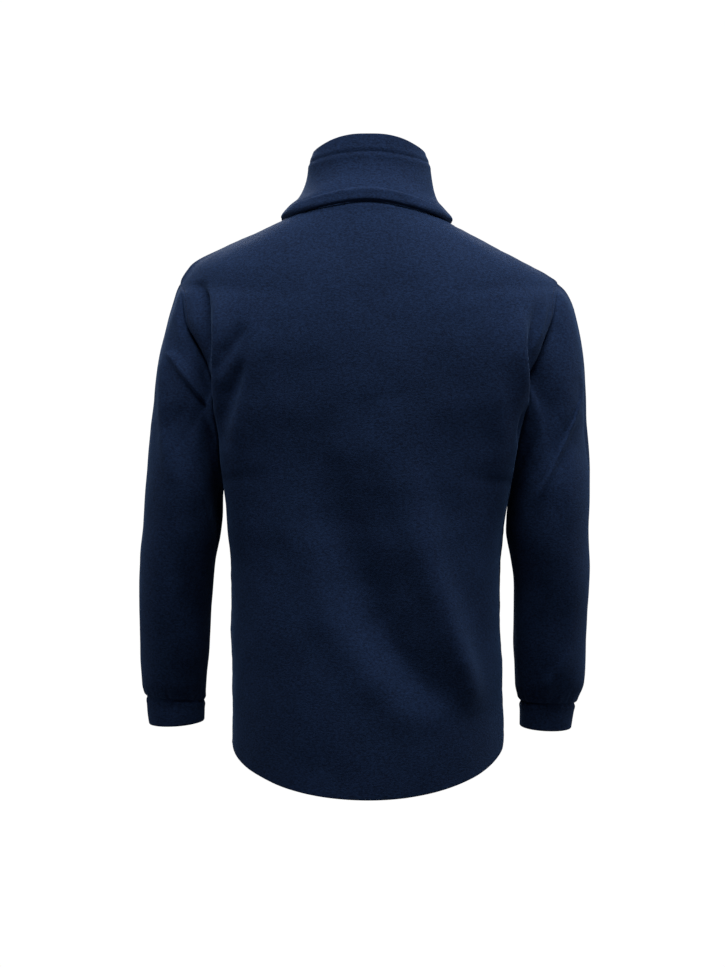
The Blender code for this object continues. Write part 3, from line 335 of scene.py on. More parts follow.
SLEEVE_FOLDS = folds(
    ON_BACK,
    # the left sleeve: the overlap below the armhole
    [(256.8, -179, 4, 8, 0), (253, -187, 2, 10, 3.8), (236.4, -208, 2, 11, 5),
     (218.6, -229, 2, 11, 5.2), (203.3, -247, 2.4, 10, 4.4), (195.7, -258, 5, 10, 0)],
    # the trough beside it
    [(212.6, -172, 11, 6, 0), (208.7, -197, 11, 6, -7), (204.9, -225, 11, 7, -12.5),
     (199.8, -256, 12, 8, -13), (194.7, -291, 12, 8, -11), (189.6, -343, 11, 8, -8),
     (187, -419, 10, 8, -4), (187, -496, 10, 8, 0)],
    # the wide dip
    [(259.4, -251, 30, 22, 0), (246.6, -264, 32, 24, -5), (226.2, -279, 34, 26, -7.6),
     (200.8, -294, 34, 26, -6)],
    # a fine ridge at the shoulder
    [(251, -115, 7, 7, 0), (247.5, -132, 6, 6.5, 2.2), (240, -160, 6, 6.5, 2.4),
     (234, -180, 7, 7, 0)],
    # the ridge down the outer side
    [(259, -164, 6, 8, 0), (263.5, -198, 5.5, 7, 4.6), (265.5, -246, 5.5, 7.5, 5.4),
     (263, -290, 6, 8, 4.8), (256, -320, 7.5, 9, 2.2), (244, -352, 10, 10, 0)],
    # the slack above the elbow
    [(262, -380, 18, 20, 0), (250, -440, 18, 20, -3.5), (232, -500, 16, 18, -3.5),
     (222, -550, 14, 16, 0)],
    # the right sleeve: the wide dip
    [(-207.2, -307, 44, 56, -7), (-232.7, -294, 50, 66, -10.8), (-255.7, -276, 50, 68, -11),
     (-281.2, -256, 48, 66, -6)],
    # the ridge below it
    [(-275.7, -193, 5, 6, 0), (-278.3, -219, 2.8, 4, 3.6), (-276.4, -237, 2.2, 4, 4.6),
     (-268.7, -261, 2, 4.2, 4.8), (-255.2, -290, 2, 4.2, 5), (-239.7, -318, 2.2, 4.2, 4.8),
     (-229.4, -341, 3, 5, 4), (-219.1, -368, 6, 9, 0)],
    # the gather above the cuff
    [(-262, -560, 10, 10, 0), (-250, -590, 9, 10, 3.5), (-232, -612, 8, 9, 2)],
) + folds(
    ON_FRONT,
    # the same on the front, softer
    [(268, -280, 14, 16, 0), (246, -340, 14, 16, -5), (216, -400, 14, 16, 0)],
    [(278, -410, 12, 14, 0), (250, -440, 12, 14, 5), (220, -462, 12, 14, 0)],
    [(-266, -276, 16, 14, 0), (-242, -336, 16, 14, -5), (-214, -396, 16, 14, 0)],
    [(-276, -414, 14, 12, 0), (-246, -446, 14, 12, 5), (-216, -470, 14, 12, 0)],
)
BODY_FADE, SLEEVE_FADE = 0.035, 0.016   # a fold on one face dies away so deep round the side


def smooth(t):
    t = np.clip(t, 0.0, 1.0)
    return t * t * (3 - 2 * t)


def rise(value, low, high):
    """0 up to low, 1 from high on and smooth on the way. The two may also run downwards."""
    return smooth((value - low) / (high - low))


def bell(distance, width):
    return np.exp(-((distance / width) ** 2))


def unit(vectors):
    return vectors / np.maximum(np.linalg.norm(vectors, axis=-1, keepdims=True), 1e-12)


def one_fold(points, table):
    """The height of one fold at points (x, z): a swell about its line, widest where it says."""
    line = table.values[:, :2]
    nearest = np.full(len(points), np.inf)
    height = np.zeros(len(points))
    for i, (start, end) in enumerate(zip(line, line[1:])):
        way = end - start
        away = points - start
        along = np.clip(away @ way / (way @ way), 0, 1)
        off = away - along[:, None] * way
        distance = np.linalg.norm(off, axis=1)
        plus = way[0] * off[:, 1] - way[1] * off[:, 0] > 0
        here = table.values[i] * (1 - along[:, None]) + table.values[i + 1] * along[:, None]
        wide = np.where(plus, here[:, 2], here[:, 3])
        height = np.where(distance < nearest, here[:, 4] * bell(distance, wide), height)
        nearest = np.minimum(distance, nearest)
    return height


def fold_height(points, tables, y_middle, fade):
    """How far the folds lift each point off the plain surface."""
    height = np.zeros(len(points))
    for face, table in tables:
        shown = smooth((points[:, 1] - y_middle) * face / fade)
        height += one_fold(points[:, [0, 2]], table) * shown
    return height


# ---------------------------------------------------------------- grids of the cloth
# A row's columns lie this far from an edge, close together where it is sewn or turned. One of
# them carries the stitching beside the seam.
NEAR_EDGE = (
    0.0, 0.0004, 0.0009, 0.0015, 0.0023, 0.0033, 0.0045, 0.0058,
    0.0068, 0.0075, 0.0080, 0.0085, 0.0092, 0.0104, 0.0122, 0.0150,
)
ROLL_COLUMNS = (        # past those, on the back alone, under the rolls beside the armholes
    0.0166, 0.0182, 0.0198, 0.0214, 0.0231, 0.0249,
    0.0268, 0.0288, 0.0309, 0.0332, 0.0357, 0.0384,
)
STITCHED_AT = 0.0080
STITCHED_COLUMN = NEAR_EDGE.index(STITCHED_AT)
BACK_COLUMNS, FRONT_COLUMNS = 58, 60    # columns of half a row past those
# How many fine rows lie between two rows of each table.
BODY_STEPS = (24, 21, 18, 15, 13, 11, 14, 17, 16, 14, 13, 10, 6, 10, 12)
SLEEVE_STEPS = (11, 12, 16, 18, 18, 16, 11, 9, 9, 9, 9, 9, 10, 11, 8)
CUFF_STEPS = (12, 12)
ROW_GAP = 0.02          # an even row at least so much of a row away from the close ones
COLLAR_STEPS, BAND_STEPS = (8, 8, 8, 7, 7, 6), (7, 7)
HEM_ROW_LENGTH, NECK_ROW_LENGTH = 0.095, 0.050  # metres from the hem's row, and to the neck's
COLLAR_ROW_LENGTH, CUFF_ROW_LENGTH = 0.012, 0.016
SLEEVE_TOP_LENGTH, SLEEVE_END_LENGTH = 0.014, 0.020
FINE = np.linspace(0, 1, 161)   # steps along a curve, from which the columns are read
SLEEVE_FOLDS_FROM = 0.030       # a sleeve's folds are whole this far from the armhole
# The turn at the shoulder point is eased between these rows, by so much of the way each turn,
# fully from so many metres inside the piece's edges on.
EASED_FROM_ROWS, EASED_TO_ROWS, EASED_INSIDE = (8.5, 10.5), (14.8, 13.3), (0.001, 0.016)
EASING_TURNS, EASING_SHARE = 90, 0.6
CUFF_TILT = 0.0032      # how much lower a cuff's end hangs behind than at its middle


def bezier(a, b, c, d, t):
    t = t[:, None]
    return (1 - t) ** 3 * a + 3 * (1 - t) ** 2 * t * b + 3 * (1 - t) * t * t * c + t ** 3 * d


def lengths_along(grid, axis=0):
    """Metres from a grid's start to every point along its rows or columns, or along a line."""
    steps = np.linalg.norm(np.diff(grid, axis=axis), axis=-1)
    start = np.zeros_like(np.take(steps, [0], axis=axis))
    return np.concatenate([start, np.cumsum(steps, axis=axis)], axis=axis)


def read_line(at, lengths, line):
    """The points of a line, or what else runs along it, at some of its lengths."""
    return np.stack([np.interp(at, lengths, column) for column in line.T], axis=-1)


def evenly(curve, columns):
    """Points of a line at the shares of its length that columns gives, and those shares."""
    lengths = lengths_along(curve)
    shares = columns(lengths[-1])
    return read_line(shares * lengths[-1], lengths, curve), shares


def columns_of_back(length):
    """From the sewn edge to the middle."""
    near = np.array(NEAR_EDGE + ROLL_COLUMNS) / length
    return np.concatenate([near[:-1], np.linspace(near[-1], 1, BACK_COLUMNS + 1)])


def columns_of_front(length):
    """From the sewn edge to the edge at the zip."""
    near = np.array(NEAR_EDGE) / length
    middle = np.linspace(near[-1], 1 - near[-1], FRONT_COLUMNS + 1)
    return np.concatenate([near[:-1], middle, 1 - near[-2::-1]])


def edge_only(_):
    return np.array([0.0, 0.1])


def even_columns(_):
    return np.linspace(0, 1, 201)


def fine_rows(steps, first_length=0.0, last_length=0.0):
    """Row numbers between a table's rows, closer at an end whose row is so many metres long."""
    rows = np.concatenate([i + np.arange(n) / n for i, n in enumerate(steps)] + [[len(steps)]])
    near = np.array(NEAR_EDGE)
    if first_length:
        close = near[near < first_length / 2] / first_length
        rows = np.concatenate([close, rows[rows > close[-1] + ROW_GAP]])
    if last_length:
        close = len(steps) - near[near < last_length / 2][::-1] / last_length
        rows = np.concatenate([rows[rows < close[0] - ROW_GAP], close])
    return rows


BODY_ROWS = fine_rows(BODY_STEPS, HEM_ROW_LENGTH, NECK_ROW_LENGTH)
ZIP_ROWS = fine_rows((3, 3, 3, 3, 2, 1, 2, 3, 2, 2, 2, 1, 1, 3, 3))     # the zip's own rows
ARMHOLE_ROWS = BODY_ROWS[(BODY_ROWS >= ARMPIT_ROW) & (BODY_ROWS <= SHOULDER_ROW)]


def plain_row(middle, side, row, columns):
    """Points along one row of a panel, from its edge at the side to the middle of the body."""
    back = middle is BACK
    name = SIDE_NAMES[side]
    edge_x = SIDES.at("x_" + name, row) - (0 if back else SIDES.at("scoop", row))
    edge_y = SIDES.at("y_back" if back else "y_front", row)
    edge_z = SIDES.at("z_" + name, row)
    y, z = middle.at("y", row), middle.at("z", row)
    turn, lead = math.radians(middle.at("turn", row)), middle.at("lead", row)
    a = np.array([edge_x, edge_y])
    b = a + lead * np.array([math.cos(turn), (1 if back else -1) * math.sin(turn)])
    c = np.array([middle.at("broad", row) * edge_x, y])
    d = np.array([0.0 if back else FRONT_EDGE, y])
    flat, shares = evenly(bezier(a, b, c, d, FINE), columns)
    even = middle.at("even", row)
    swoop = (y - flat[:, 1]) / (y - edge_y)
    weight = (1 - even) * swoop + even * smooth(1 - shares)
    return np.column_stack([side * flat[:, 0], flat[:, 1], z + (edge_z - z) * weight])


def folded(points):
    """The body's points with its folds, which stand off along the normals of an ellipse."""
    flat = points.reshape(-1, 3)
    outward = flat / (BODY_HALF_WIDTH ** 2, BODY_HALF_DEPTH ** 2, 1.0) * (1, 1, 0)
    lift = fold_height(flat, BODY_FOLDS, 0.0, BODY_FADE)
    return (flat + unit(outward) * lift[:, None]).reshape(points.shape)


def body_row(middle, side, row, columns):
    return folded(plain_row(middle, side, row, columns))


def eased(grid):
    """The grid with the turn at the shoulder point spread over the cloth, its edges held."""
    across = lengths_along(grid, 1)
    inside = np.minimum(across, across[:, -1:] - across)
    reach = rise(BODY_ROWS, *EASED_FROM_ROWS) * rise(BODY_ROWS, *EASED_TO_ROWS)
    held = rise(inside, *EASED_INSIDE) * reach[:, None]
    grid = grid.copy()
    for _ in range(EASING_TURNS):
        normals = grid_normals(grid, False)[1:-1, 1:-1]
        near = grid[2:, 1:-1] + grid[:-2, 1:-1] + grid[1:-1, 2:] + grid[1:-1, :-2]
        way = near / 4 - grid[1:-1, 1:-1]
        share = (way * normals).sum(axis=2) * held[1:-1, 1:-1] * EASING_SHARE
        grid[1:-1, 1:-1] += normals * share[:, :, None]
    return grid


def back_grid():
    rows = []
    for row in BODY_ROWS:
        left, right = (plain_row(BACK, side, row, columns_of_back) for side in (LEFT, RIGHT))
        rows.append(np.concatenate([left, right[-2::-1]]))
    return folded(eased(np.array(rows)))


def front_grid(side):
    """Its first column is at the zip for the left front and on the side seam for the right."""
    grid = np.array([plain_row(FRONT, side, row, columns_of_front) for row in BODY_ROWS])
    return folded(eased(grid[:, ::-1] if side == LEFT else grid))


def armhole_loop(side):
    """The armhole's points: from the shoulder down the back to the armpit, and up the front."""
    down = [body_row(BACK, side, row, edge_only)[0] for row in reversed(ARMHOLE_ROWS)]
    up = [body_row(FRONT, side, row, edge_only)[0] for row in ARMHOLE_ROWS[1:-1]]
    return np.array(down + up)


def ring_frame(table, side, row):
    outer = np.array([side * table.at("x_out", row), table.at("z_out", row)])
    inner = np.array([side * table.at("x_in", row), table.at("z_in", row)])
    middle, half = (outer + inner) / 2, (outer - inner) / 2
    reach = np.linalg.norm(half)
    centre = np.array([middle[0], table.at("y", row), middle[1]])
    outward = np.array([half[0], 0, half[1]]) / reach
    along = np.cross(outward, [0, side, 0])
    return centre, outward, along, reach, table.at("half_depth", row)


def ring_at(centre, outward, along, across, deep, ahead=0.0):
    """A ring about a centre: its points' shares outward and in Y, and their way on along it."""
    return (
        centre
        + np.outer(across, outward)
        + np.outer(deep, [0, 1, 0])
        + np.outer(ahead, along)
    )


def sleeve_grid(side):
    table = SLEEVES[side]
    loop = armhole_loop(side)
    centre, outward, along, reach, depth = ring_frame(table, side, 0)
    local = loop - centre
    start = np.column_stack([local @ outward / reach, local[:, 1] / depth, local @ along])
    start_angle = np.unwrap(np.arctan2(start[:, 1], start[:, 0]))
    even_angle = np.arange(len(loop)) * 2 * math.pi / len(loop)
    rings, lifts = [], []
    for row in fine_rows(SLEEVE_STEPS, SLEEVE_TOP_LENGTH, SLEEVE_END_LENGTH):
        centre, outward, along, reach, depth = ring_frame(table, side, row)
        share = smooth(row / SLEEVE_SETTLES_BY)
        angle = (1 - share) * start_angle + share * even_angle
        across = (1 - share) * start[:, 0] + share * np.cos(angle)
        deep = (1 - share) * start[:, 1] + share * np.sin(angle)
        ahead = (1 - share) * start[:, 2]
        ring = ring_at(centre, outward, along, across * reach, deep * depth, ahead)
        way = unit(ring_at(0, outward, along, np.cos(angle), np.sin(angle)))
        lift = fold_height(ring, SLEEVE_FOLDS, table.at("y", row), SLEEVE_FADE)
        lifts.append(way * lift[:, None])
        rings.append(ring)
    rings[0] = loop + np.array([side * SLEEVE_CLEARANCE, 0, 0])
    rings = np.array(rings)
    share = smooth(lengths_along(rings) / SLEEVE_FOLDS_FROM)
    return upward(rings + np.array(lifts) * share[:, :, None], side)


def cuff_grid(side):
    table = CUFFS[side]
    angle = np.arange(2 * len(ARMHOLE_ROWS) - 2) * math.pi / (len(ARMHOLE_ROWS) - 1)
    rings = []
    for row in fine_rows(CUFF_STEPS, CUFF_ROW_LENGTH, CUFF_ROW_LENGTH):
        centre, outward, _, reach, depth = ring_frame(table, side, row)
        lower = -np.sin(angle) * CUFF_TILT * row / table.last
        across, deep = np.cos(angle) * reach, np.sin(angle) * depth
        rings.append(ring_at(centre, outward, [0, 0, 1], across, deep, lower))
    return upward(np.array(rings), side)


def upward(rings, side):
    """Rings from the top down, turned to rows from the bottom up with the outside on the right."""
    return rings[::-1] if side == LEFT else rings[::-1, ::-1]


def collar_row(middle, side, row, columns):
    """Points along a quarter of the collar's row, from the side to the middle of the body."""
    back = middle is BACK
    name = "back" if back else "front"
    x = COLLAR.at("x_" + SIDE_NAMES[side], row)
    y, z = COLLAR.at("y_" + name, row), COLLAR.at("z_" + name, row)
    y_side = COLLAR.at("y_side", row)
    z_side = COLLAR.at("z_side", row) - COLLAR_DROPS[side] * rise(row, *DROP_ENDS)
    a, d = np.array([x, y_side]), np.array([0.0 if back else FRONT_EDGE, y])
    b = a + [0, COLLAR_REACH * (y - y_side)]
    c = np.array([COLLAR_REACH * x, y])
    flat, shares = evenly(bezier(a, b, c, d, FINE), columns)
    later = 1 + BAND_SHARPENS * rise(row, BAND_ROW, COLLAR.last)
    weight = smooth(1 - shares) ** later
    return np.column_stack([side * flat[:, 0], flat[:, 1], z + (z_side - z) * weight])


def collar_ring(row):
    """From the zip round the wearer's left, the back and the right, to the zip again."""
    # on the neck seam the collar takes the body's own points
    line, row = (body_row, SIDES.last) if row == 0 else (collar_row, row)
    return np.concatenate([
        line(FRONT, LEFT, row, columns_of_front)[::-1],
        line(BACK, LEFT, row, columns_of_back)[1:],
        line(BACK, RIGHT, row, columns_of_back)[-2::-1],
        line(FRONT, RIGHT, row, columns_of_front)[1:],
    ])


def grid_normals(grid, closed):
    """Outward normals of a grid whose rows run with the outside on their right."""
    if closed:
        across = np.roll(grid, -1, axis=1) - np.roll(grid, 1, axis=1)
    else:
        across = np.gradient(grid, axis=1)
    return unit(np.cross(across, np.gradient(grid, axis=0)))


# ---------------------------------------------------------------- sheets of cloth
class Sheet:
    """The outer face of one cut piece as a fine grid, its rows from the bottom up."""

    def __init__(self, name, grid, thickness, closed=False, free=(), row_numbers=None):
        self.name, self.grid, self.thickness = name, grid, thickness
        self.closed, self.free, self.row_numbers = closed, free, row_numbers
        self.normals = grid_normals(grid, closed)
        self.ring = np.concatenate([grid, grid[:, :1]], axis=1) if closed else grid
        self.up, self.across = lengths_along(grid, 0), lengths_along(self.ring, 1)

    def edges(self):
        return ("bottom", "top") if self.closed else ("bottom", "top", "first", "last")

    def from_edge(self, edge):
        """Metres of cloth between every point and an edge."""
        if edge == "bottom":
            return self.up
        if edge == "top":
            return self.up[-1] - self.up
        columns = self.grid.shape[1]
        if edge == "first":
            return self.across[:, :columns]
        return (self.across[:, -1:] - self.across)[:, :columns]

    def along_edge(self, edge):
        """Metres along an edge, carried into the piece from it."""
        columns = self.grid.shape[1]
        if edge in ("bottom", "top"):
            row = 0 if edge == "bottom" else -1
            return np.broadcast_to(self.across[row, :columns], self.up.shape)
        column = 0 if edge == "first" else -1
        return np.broadcast_to(self.up[:, column][:, None], self.up.shape)

    def flat_size(self):
        """The piece's widest row, longest column and area, laid flat."""
        ring = self.ring
        a, b = ring[1:, 1:] - ring[:-1, :-1], ring[1:, :-1] - ring[:-1, 1:]
        area = 0.5 * np.linalg.norm(np.cross(a, b), axis=2).sum()
        return float(self.across[:, -1].max()), float(self.up[-1].max()), float(area)


def share_seam_normals(sheets):
    """Where two pieces meet, both take the mean of their normals, so their ends lie face to face.
    Where the cloth doubles back on itself each keeps its own."""
    places = []
    for sheet in sheets:
        rows, columns = sheet.grid.shape[:2]
        spots = {(i, j) for i in (0, rows - 1) for j in range(columns)}
        if not sheet.closed:
            spots |= {(i, j) for i in range(rows) for j in (0, columns - 1)}
        places += [(sheet, i, j) for i, j in sorted(spots)]
    tree = KDTree(len(places))
    for at, (sheet, i, j) in enumerate(places):
        tree.insert(sheet.grid[i, j], at)
    tree.balance()
    shared = []
    for sheet, i, j in places:
        own = sheet.normals[i, j]
        total = np.zeros(3)
        for _, at, _ in tree.find_range(sheet.grid[i, j], SEAM_REACH):
            other, m, n = places[at]
            facing = other.normals[m, n]
            total += facing * rise(own @ facing, DOUBLED_BACK, ALIKE)
        shared.append(unit(total))
    for (sheet, i, j), normal in zip(places, shared):
        sheet.normals[i, j] = normal


@functools.lru_cache(maxsize=None)
def jacket_sheets():
    """Every cut piece by name, made once for all the operators."""
    made = [Sheet("back", back_grid(), FLEECE, free=("bottom",), row_numbers=BODY_ROWS)]
    for side, at_zip in ((LEFT, "first"), (RIGHT, "last")):
        name, free = "front_" + SIDE_NAMES[side], ("bottom", at_zip)
        made.append(Sheet(name, front_grid(side), FLEECE, free=free, row_numbers=BODY_ROWS))
    for side, name in SIDE_NAMES.items():
        made += [
            Sheet("sleeve_" + name, sleeve_grid(side), FLEECE, closed=True),
            Sheet("cuff_" + name, cuff_grid(side), CUFF_CLOTH, closed=True, free=("bottom",)),
        ]
    for name, first, steps, free in (
        ("collar", 0, COLLAR_STEPS, ("first", "last")),
        ("collar_band", BAND_ROW, BAND_STEPS, ("first", "last", "top")),
    ):
        rows = first + fine_rows(steps, COLLAR_ROW_LENGTH, COLLAR_ROW_LENGTH)
        grid = np.array([collar_ring(row) for row in rows])
        made.append(Sheet(name, grid, COLLAR_CLOTH, free=free))
    share_seam_normals(made)
    return {sheet.name: sheet for sheet in made}


# How each sewn edge lies: how deep the seam sinks, how high its puckers stand, how long a pucker
# is, and how far they reach into the cloth.
PLAIN_SEAM = (0.0009, 0.00040, 0.024, 0.016)
SEAMS = {
    ("sleeve_left", "top"): (0.0016, 0.00060, 0.022, 0.018),
    ("sleeve_right", "top"): (0.0004, 0.00060, 0.022, 0.018),
    ("back", "last"): (0.0005, 0.00040, 0.024, 0.016),
    ("sleeve_left", "bottom"): (0.0006, 0.00130, 0.0125, 0.015),
    ("sleeve_right", "bottom"): (0.0010, 0.00130, 0.0125, 0.015),
    ("cuff_left", "top"): (0.0006, 0.00070, 0.0125, 0.010),
    ("cuff_right", "top"): (0.0010, 0.00070, 0.0125, 0.010),
    ("collar", "bottom"): (0.0006, 0.00030, 0.026, 0.014),
    ("collar", "top"): (0.0004, 0.00020, 0.030, 0.010),
    ("collar_band", "bottom"): (0.0005, 0.00020, 0.030, 0.010),
}
FLAT_SEAM_Z, FLAT_SEAM_X = (-0.125, -0.092), (0.17, 0.20)   # an armhole's seam fades out here
PUFF_WIDTH, PUCKERS_CLEAR = 0.0032, 0.0028  # of the swell beside a seam, and by the seam itself
# The collar's roll over its seam: how high, how far up from the seam it comes and goes, and
# the Y from which it shows.
ROLL_HEIGHT, ROLL_COMES, ROLL_GOES = 0.0030, (0.0, 0.0036), (0.0192, 0.0162)
ROLL_Y = (0.01, 0.04)
STITCH_SINK, STITCH_SINK_WIDTH = 0.0005, 0.0013     # the sunk line that the stitching lies in
STITCHES_FADE = 0.4     # the armhole's stitching ends over so much of a row
THREAD_LIFT = 0.3       # how much of its thickness a thread lies above the sunk line
SWELL_WAVES = (0.026, 0.115)    # the shortest and the longest of the cloth's small swells
SWELL_COUNT, SWELL_SEED = 16, 11
PUCKER_WAVES, PUCKER_SUM = (0.62, 1.0, 1.45, 2.3), 2.2  # shares of a pucker's own wave, and all
RIM_FULLNESS = 0.94     # how nearly a free edge closes to a half round
INNER_SHARE = 0.6       # how much of the relief shows on the inside
SHARP_FROM = 50         # degrees between faces


def swells(points, height):
    """The cloth's small unevenness, the same at one place for every piece."""
    chance = np.random.default_rng(SWELL_SEED)
    total = np.zeros(points.shape[:-1])
    for _ in range(SWELL_COUNT):
        way = unit(chance.normal(size=3))
        wave = chance.uniform(*SWELL_WAVES)
        start = chance.uniform(0, 2 * math.pi)
        total += wave / SWELL_WAVES[1] * np.sin(2 * math.pi * (points @ way) / wave + start)
    return height * total / math.sqrt(SWELL_COUNT)


def puckers(along, wave, seed):
    """Uneven gathers along a seam, between -1 and 1."""
    chance = np.random.default_rng(seed)
    total = np.zeros_like(along)
    for share in PUCKER_WAVES:
        start = chance.uniform(0, 2 * math.pi)
        total += np.sin(2 * math.pi * along * share / wave + start) / (0.6 + share)
    return total / PUCKER_SUM


def relief(sheet, cloth):
    """How far each point of a piece stands off its plain form."""
    height = swells(sheet.grid, cloth.swell)
    x, y, z = np.moveaxis(sheet.grid, -1, 0)
    flat = rise(z, *FLAT_SEAM_Z) * rise(np.abs(x), *FLAT_SEAM_X)
    for seed, edge in enumerate(sheet.edges()):
        if edge in sheet.free:
            continue
        depth, pucker, wave, reach = SEAMS.get((sheet.name, edge), PLAIN_SEAM)
        away = sheet.from_edge(edge)
        beside = away - 3 * cloth.seam_half_width
        groove = depth * bell(away, cloth.seam_half_width)
        seam = cloth.seam_puff * bell(beside, PUFF_WIDTH) - groove
        if sheet.row_numbers is not None or sheet.name.startswith("sleeve"):
            seam *= 1 - flat
        gathers = pucker * puckers(sheet.along_edge(edge), wave, seed + len(sheet.name))
        height += seam + gathers * (1 - bell(away, PUCKERS_CLEAR)) * bell(away, reach)
    if sheet.name == "collar":
        up = sheet.from_edge("bottom")
        height += ROLL_HEIGHT * rise(up, *ROLL_COMES) * rise(up, *ROLL_GOES) * rise(y, *ROLL_Y)
    for edge, shown in stitched_edges(sheet):
        away = sheet.from_edge(edge) - STITCHED_AT
        height -= STITCH_SINK * bell(away, STITCH_SINK_WIDTH) * shown[:, None]
    return height


def stitched_edges(sheet):
    """The edges that have a line of stitching beside them, with how far up it shows by row."""
    rows, sides = sheet.row_numbers, sheet.edges()[2:]
    everywhere = np.ones(len(sheet.grid))
    if rows is None:
        return [(edge, everywhere) for edge in sides if edge in sheet.free]
    armhole = smooth((rows - ARMPIT_ROW) / STITCHES_FADE)
    armhole *= smooth((SHOULDER_ROW - rows) / STITCHES_FADE)
    sewn = [(edge, armhole) for edge in sides if edge not in sheet.free]
    return sewn + [(edge, everywhere) for edge in sides if edge in sheet.free]


def rounding(sheet):
    """How far the half-round free edges draw both faces in."""
    drawn = np.zeros(sheet.grid.shape[:2])
    half = sheet.thickness / 2
    for edge in sheet.free:
        short = np.clip(half - sheet.from_edge(edge), 0, half)
        drawn = np.maximum(drawn, half - np.sqrt(half * half - short * short))
    return drawn * RIM_FULLNESS


def cloth_faces(sheet, height):
    """The outer and the inner face of a piece as grids of points."""
    drawn = rounding(sheet)
    outer = height - drawn
    inner = height * INNER_SHARE - sheet.thickness + drawn
    return [sheet.grid + sheet.normals * off[:, :, None] for off in (outer, inner)]


def cloth_object(sheet, height):
    """A piece as a closed wall: its outer face, its inner face and its rims."""
    outer, inner = cloth_faces(sheet, height)
    rows, columns = outer.shape[:2]
    outside = np.arange(rows * columns).reshape(rows, columns)
    if sheet.closed:
        outside = np.concatenate([outside, outside[:, :1]], axis=1)
    inside = outside + rows * columns

    def quads(a, b, c, d):
        return np.stack([a, b, c, d], axis=-1).reshape(-1, 4)

    faces = [
        quads(outside[:-1, :-1], outside[:-1, 1:], outside[1:, 1:], outside[1:, :-1]),
        quads(inside[:-1, :-1], inside[1:, :-1], inside[1:, 1:], inside[:-1, 1:]),
        quads(outside[0, 1:], outside[0, :-1], inside[0, :-1], inside[0, 1:]),
        quads(outside[-1, :-1], outside[-1, 1:], inside[-1, 1:], inside[-1, :-1]),
    ]
    if not sheet.closed:
        faces += [
            quads(outside[:-1, 0], outside[1:, 0], inside[1:, 0], inside[:-1, 0]),
            quads(outside[1:, -1], outside[:-1, -1], inside[:-1, -1], inside[1:, -1]),
        ]
    points = np.concatenate([outer.reshape(-1, 3), inner.reshape(-1, 3)])
    made = mesh_object(sheet.name + "_cloth", points, np.concatenate(faces).tolist())
    made.data.set_sharp_from_angle(angle=math.radians(SHARP_FROM))
    width, length, area = sheet.flat_size()
    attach(made, JACKET)
    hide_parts(sheet.name)
    return made


def mesh_object(name, points, faces):
    data = bpy.data.meshes.new(name)
    data.from_pydata(points.tolist(), [], faces)
    data.update()
    data.shade_smooth()
    made = bpy.data.objects.new(name, data)
    bpy.context.scene.collection.objects.link(made)
    return made


# ---------------------------------------------------------------- the zip's line
TAPE_FAR_EDGE = 0.0155          # X
TAPE_CLEARANCE = 0.0008         # from the cloth to the tape's outer face
TAPE_ENDS = (0.003, 0.003)      # short of the hem and of the collar's top
CHAIN_CLEARANCE = 0.0003
SLIDER_HALF_WIDTH, SLIDER_LENGTH, SLIDER_LIFT, SLIDER_PLATE = 0.0044, 0.0115, 0.0023, 0.0012
BOX_HALF_WIDTH, BOX_LENGTH, BOX_LIFT, BOX_PLATE = 0.0042, 0.0095, 0.0004, 0.0020
PLATE_BACK = 0.0011             # from the tapes' outer face to a back plate
WEB_HALF_WIDTH = 0.0007
SLIDER_FROM_TOP, BOX_OVERHANG = 0.0110, 0.0010
BAIL_HALF_WIDTH, BAIL_THICKNESS = 0.0008, 0.0009
BAIL_HALF_OPENING, BAIL_CLEAR_HEIGHT = 0.0017, 0.0026
LEAN_REACH = 0.005              # the zip's lean is read so far up and down from a place
PULL_HALF_WIDTH, PULL_HALF_THICKNESS, PULL_LENGTH = 0.0030, 0.0006, 0.0300
PULL_BAR, EYE_HALF_WIDTH, EYE_LENGTH = 0.0012, 0.0015, 0.0042
NEAR = 1e-5                     # places this near each other are the same


class ZipLine:
    """The tapes' outer face in the middle of the front, by its length from the hem up."""

    def __init__(self):
        places, depths = [], []
        rows = [(body_row, row, FLEECE) for row in ZIP_ROWS]
        rows += [(collar_row, row, COLLAR_CLOTH) for row in range(1, COLLAR.last + 1)]
        for line_of, row, cloth in rows:
            lines = [line_of(FRONT, side, row, even_columns) for side in (LEFT, RIGHT)]
            places.append((lines[0][-1, 1:] + lines[1][-1, 1:]) / 2)
            sags = [
                np.interp(TAPE_FAR_EDGE, np.abs(line[::-1, 0]), line[::-1, 1]) - places[-1][0]
                for line in lines
            ]
            depths.append(cloth + TAPE_CLEARANCE + max(0.0, *sags))
        places, depths = np.array(places), np.array(depths)
        up = unit(np.gradient(places, axis=0))
        inward = np.column_stack([up[:, 1], -up[:, 0]])
        depths[1:-1] = np.maximum(depths[1:-1], np.maximum(depths[:-2], depths[2:]))
        self.points = places + inward * depths[:, None]
        self.lengths = lengths_along(self.points)
        self.low = TAPE_ENDS[0]
        self.high = self.lengths[-1] - TAPE_ENDS[1]
        self.slider = self.high - SLIDER_FROM_TOP
        self.box = self.low - BOX_OVERHANG + BOX_LENGTH / 2

    def at(self, length):
        return read_line(length, self.lengths, self.points)

    def lean(self, length):
        """The turn about X that stands a piece along the zip here."""
        up = self.at(length + LEAN_REACH) - self.at(length - LEAN_REACH)
        return math.atan2(-up[0], up[1])

    def place(self, length, forward=0.0):
        """The matrix that stands a piece here, its own -Y out of the jacket."""
        lean = self.lean(length)
        y, z = self.at(length)
        spot = Vector((0, y - forward * math.cos(lean), z - forward * math.sin(lean)))
        return Matrix.Translation(spot) @ Matrix.Rotation(lean, 4, "X")


@functools.lru_cache(maxsize=None)
def zip_line():
    return ZipLine()


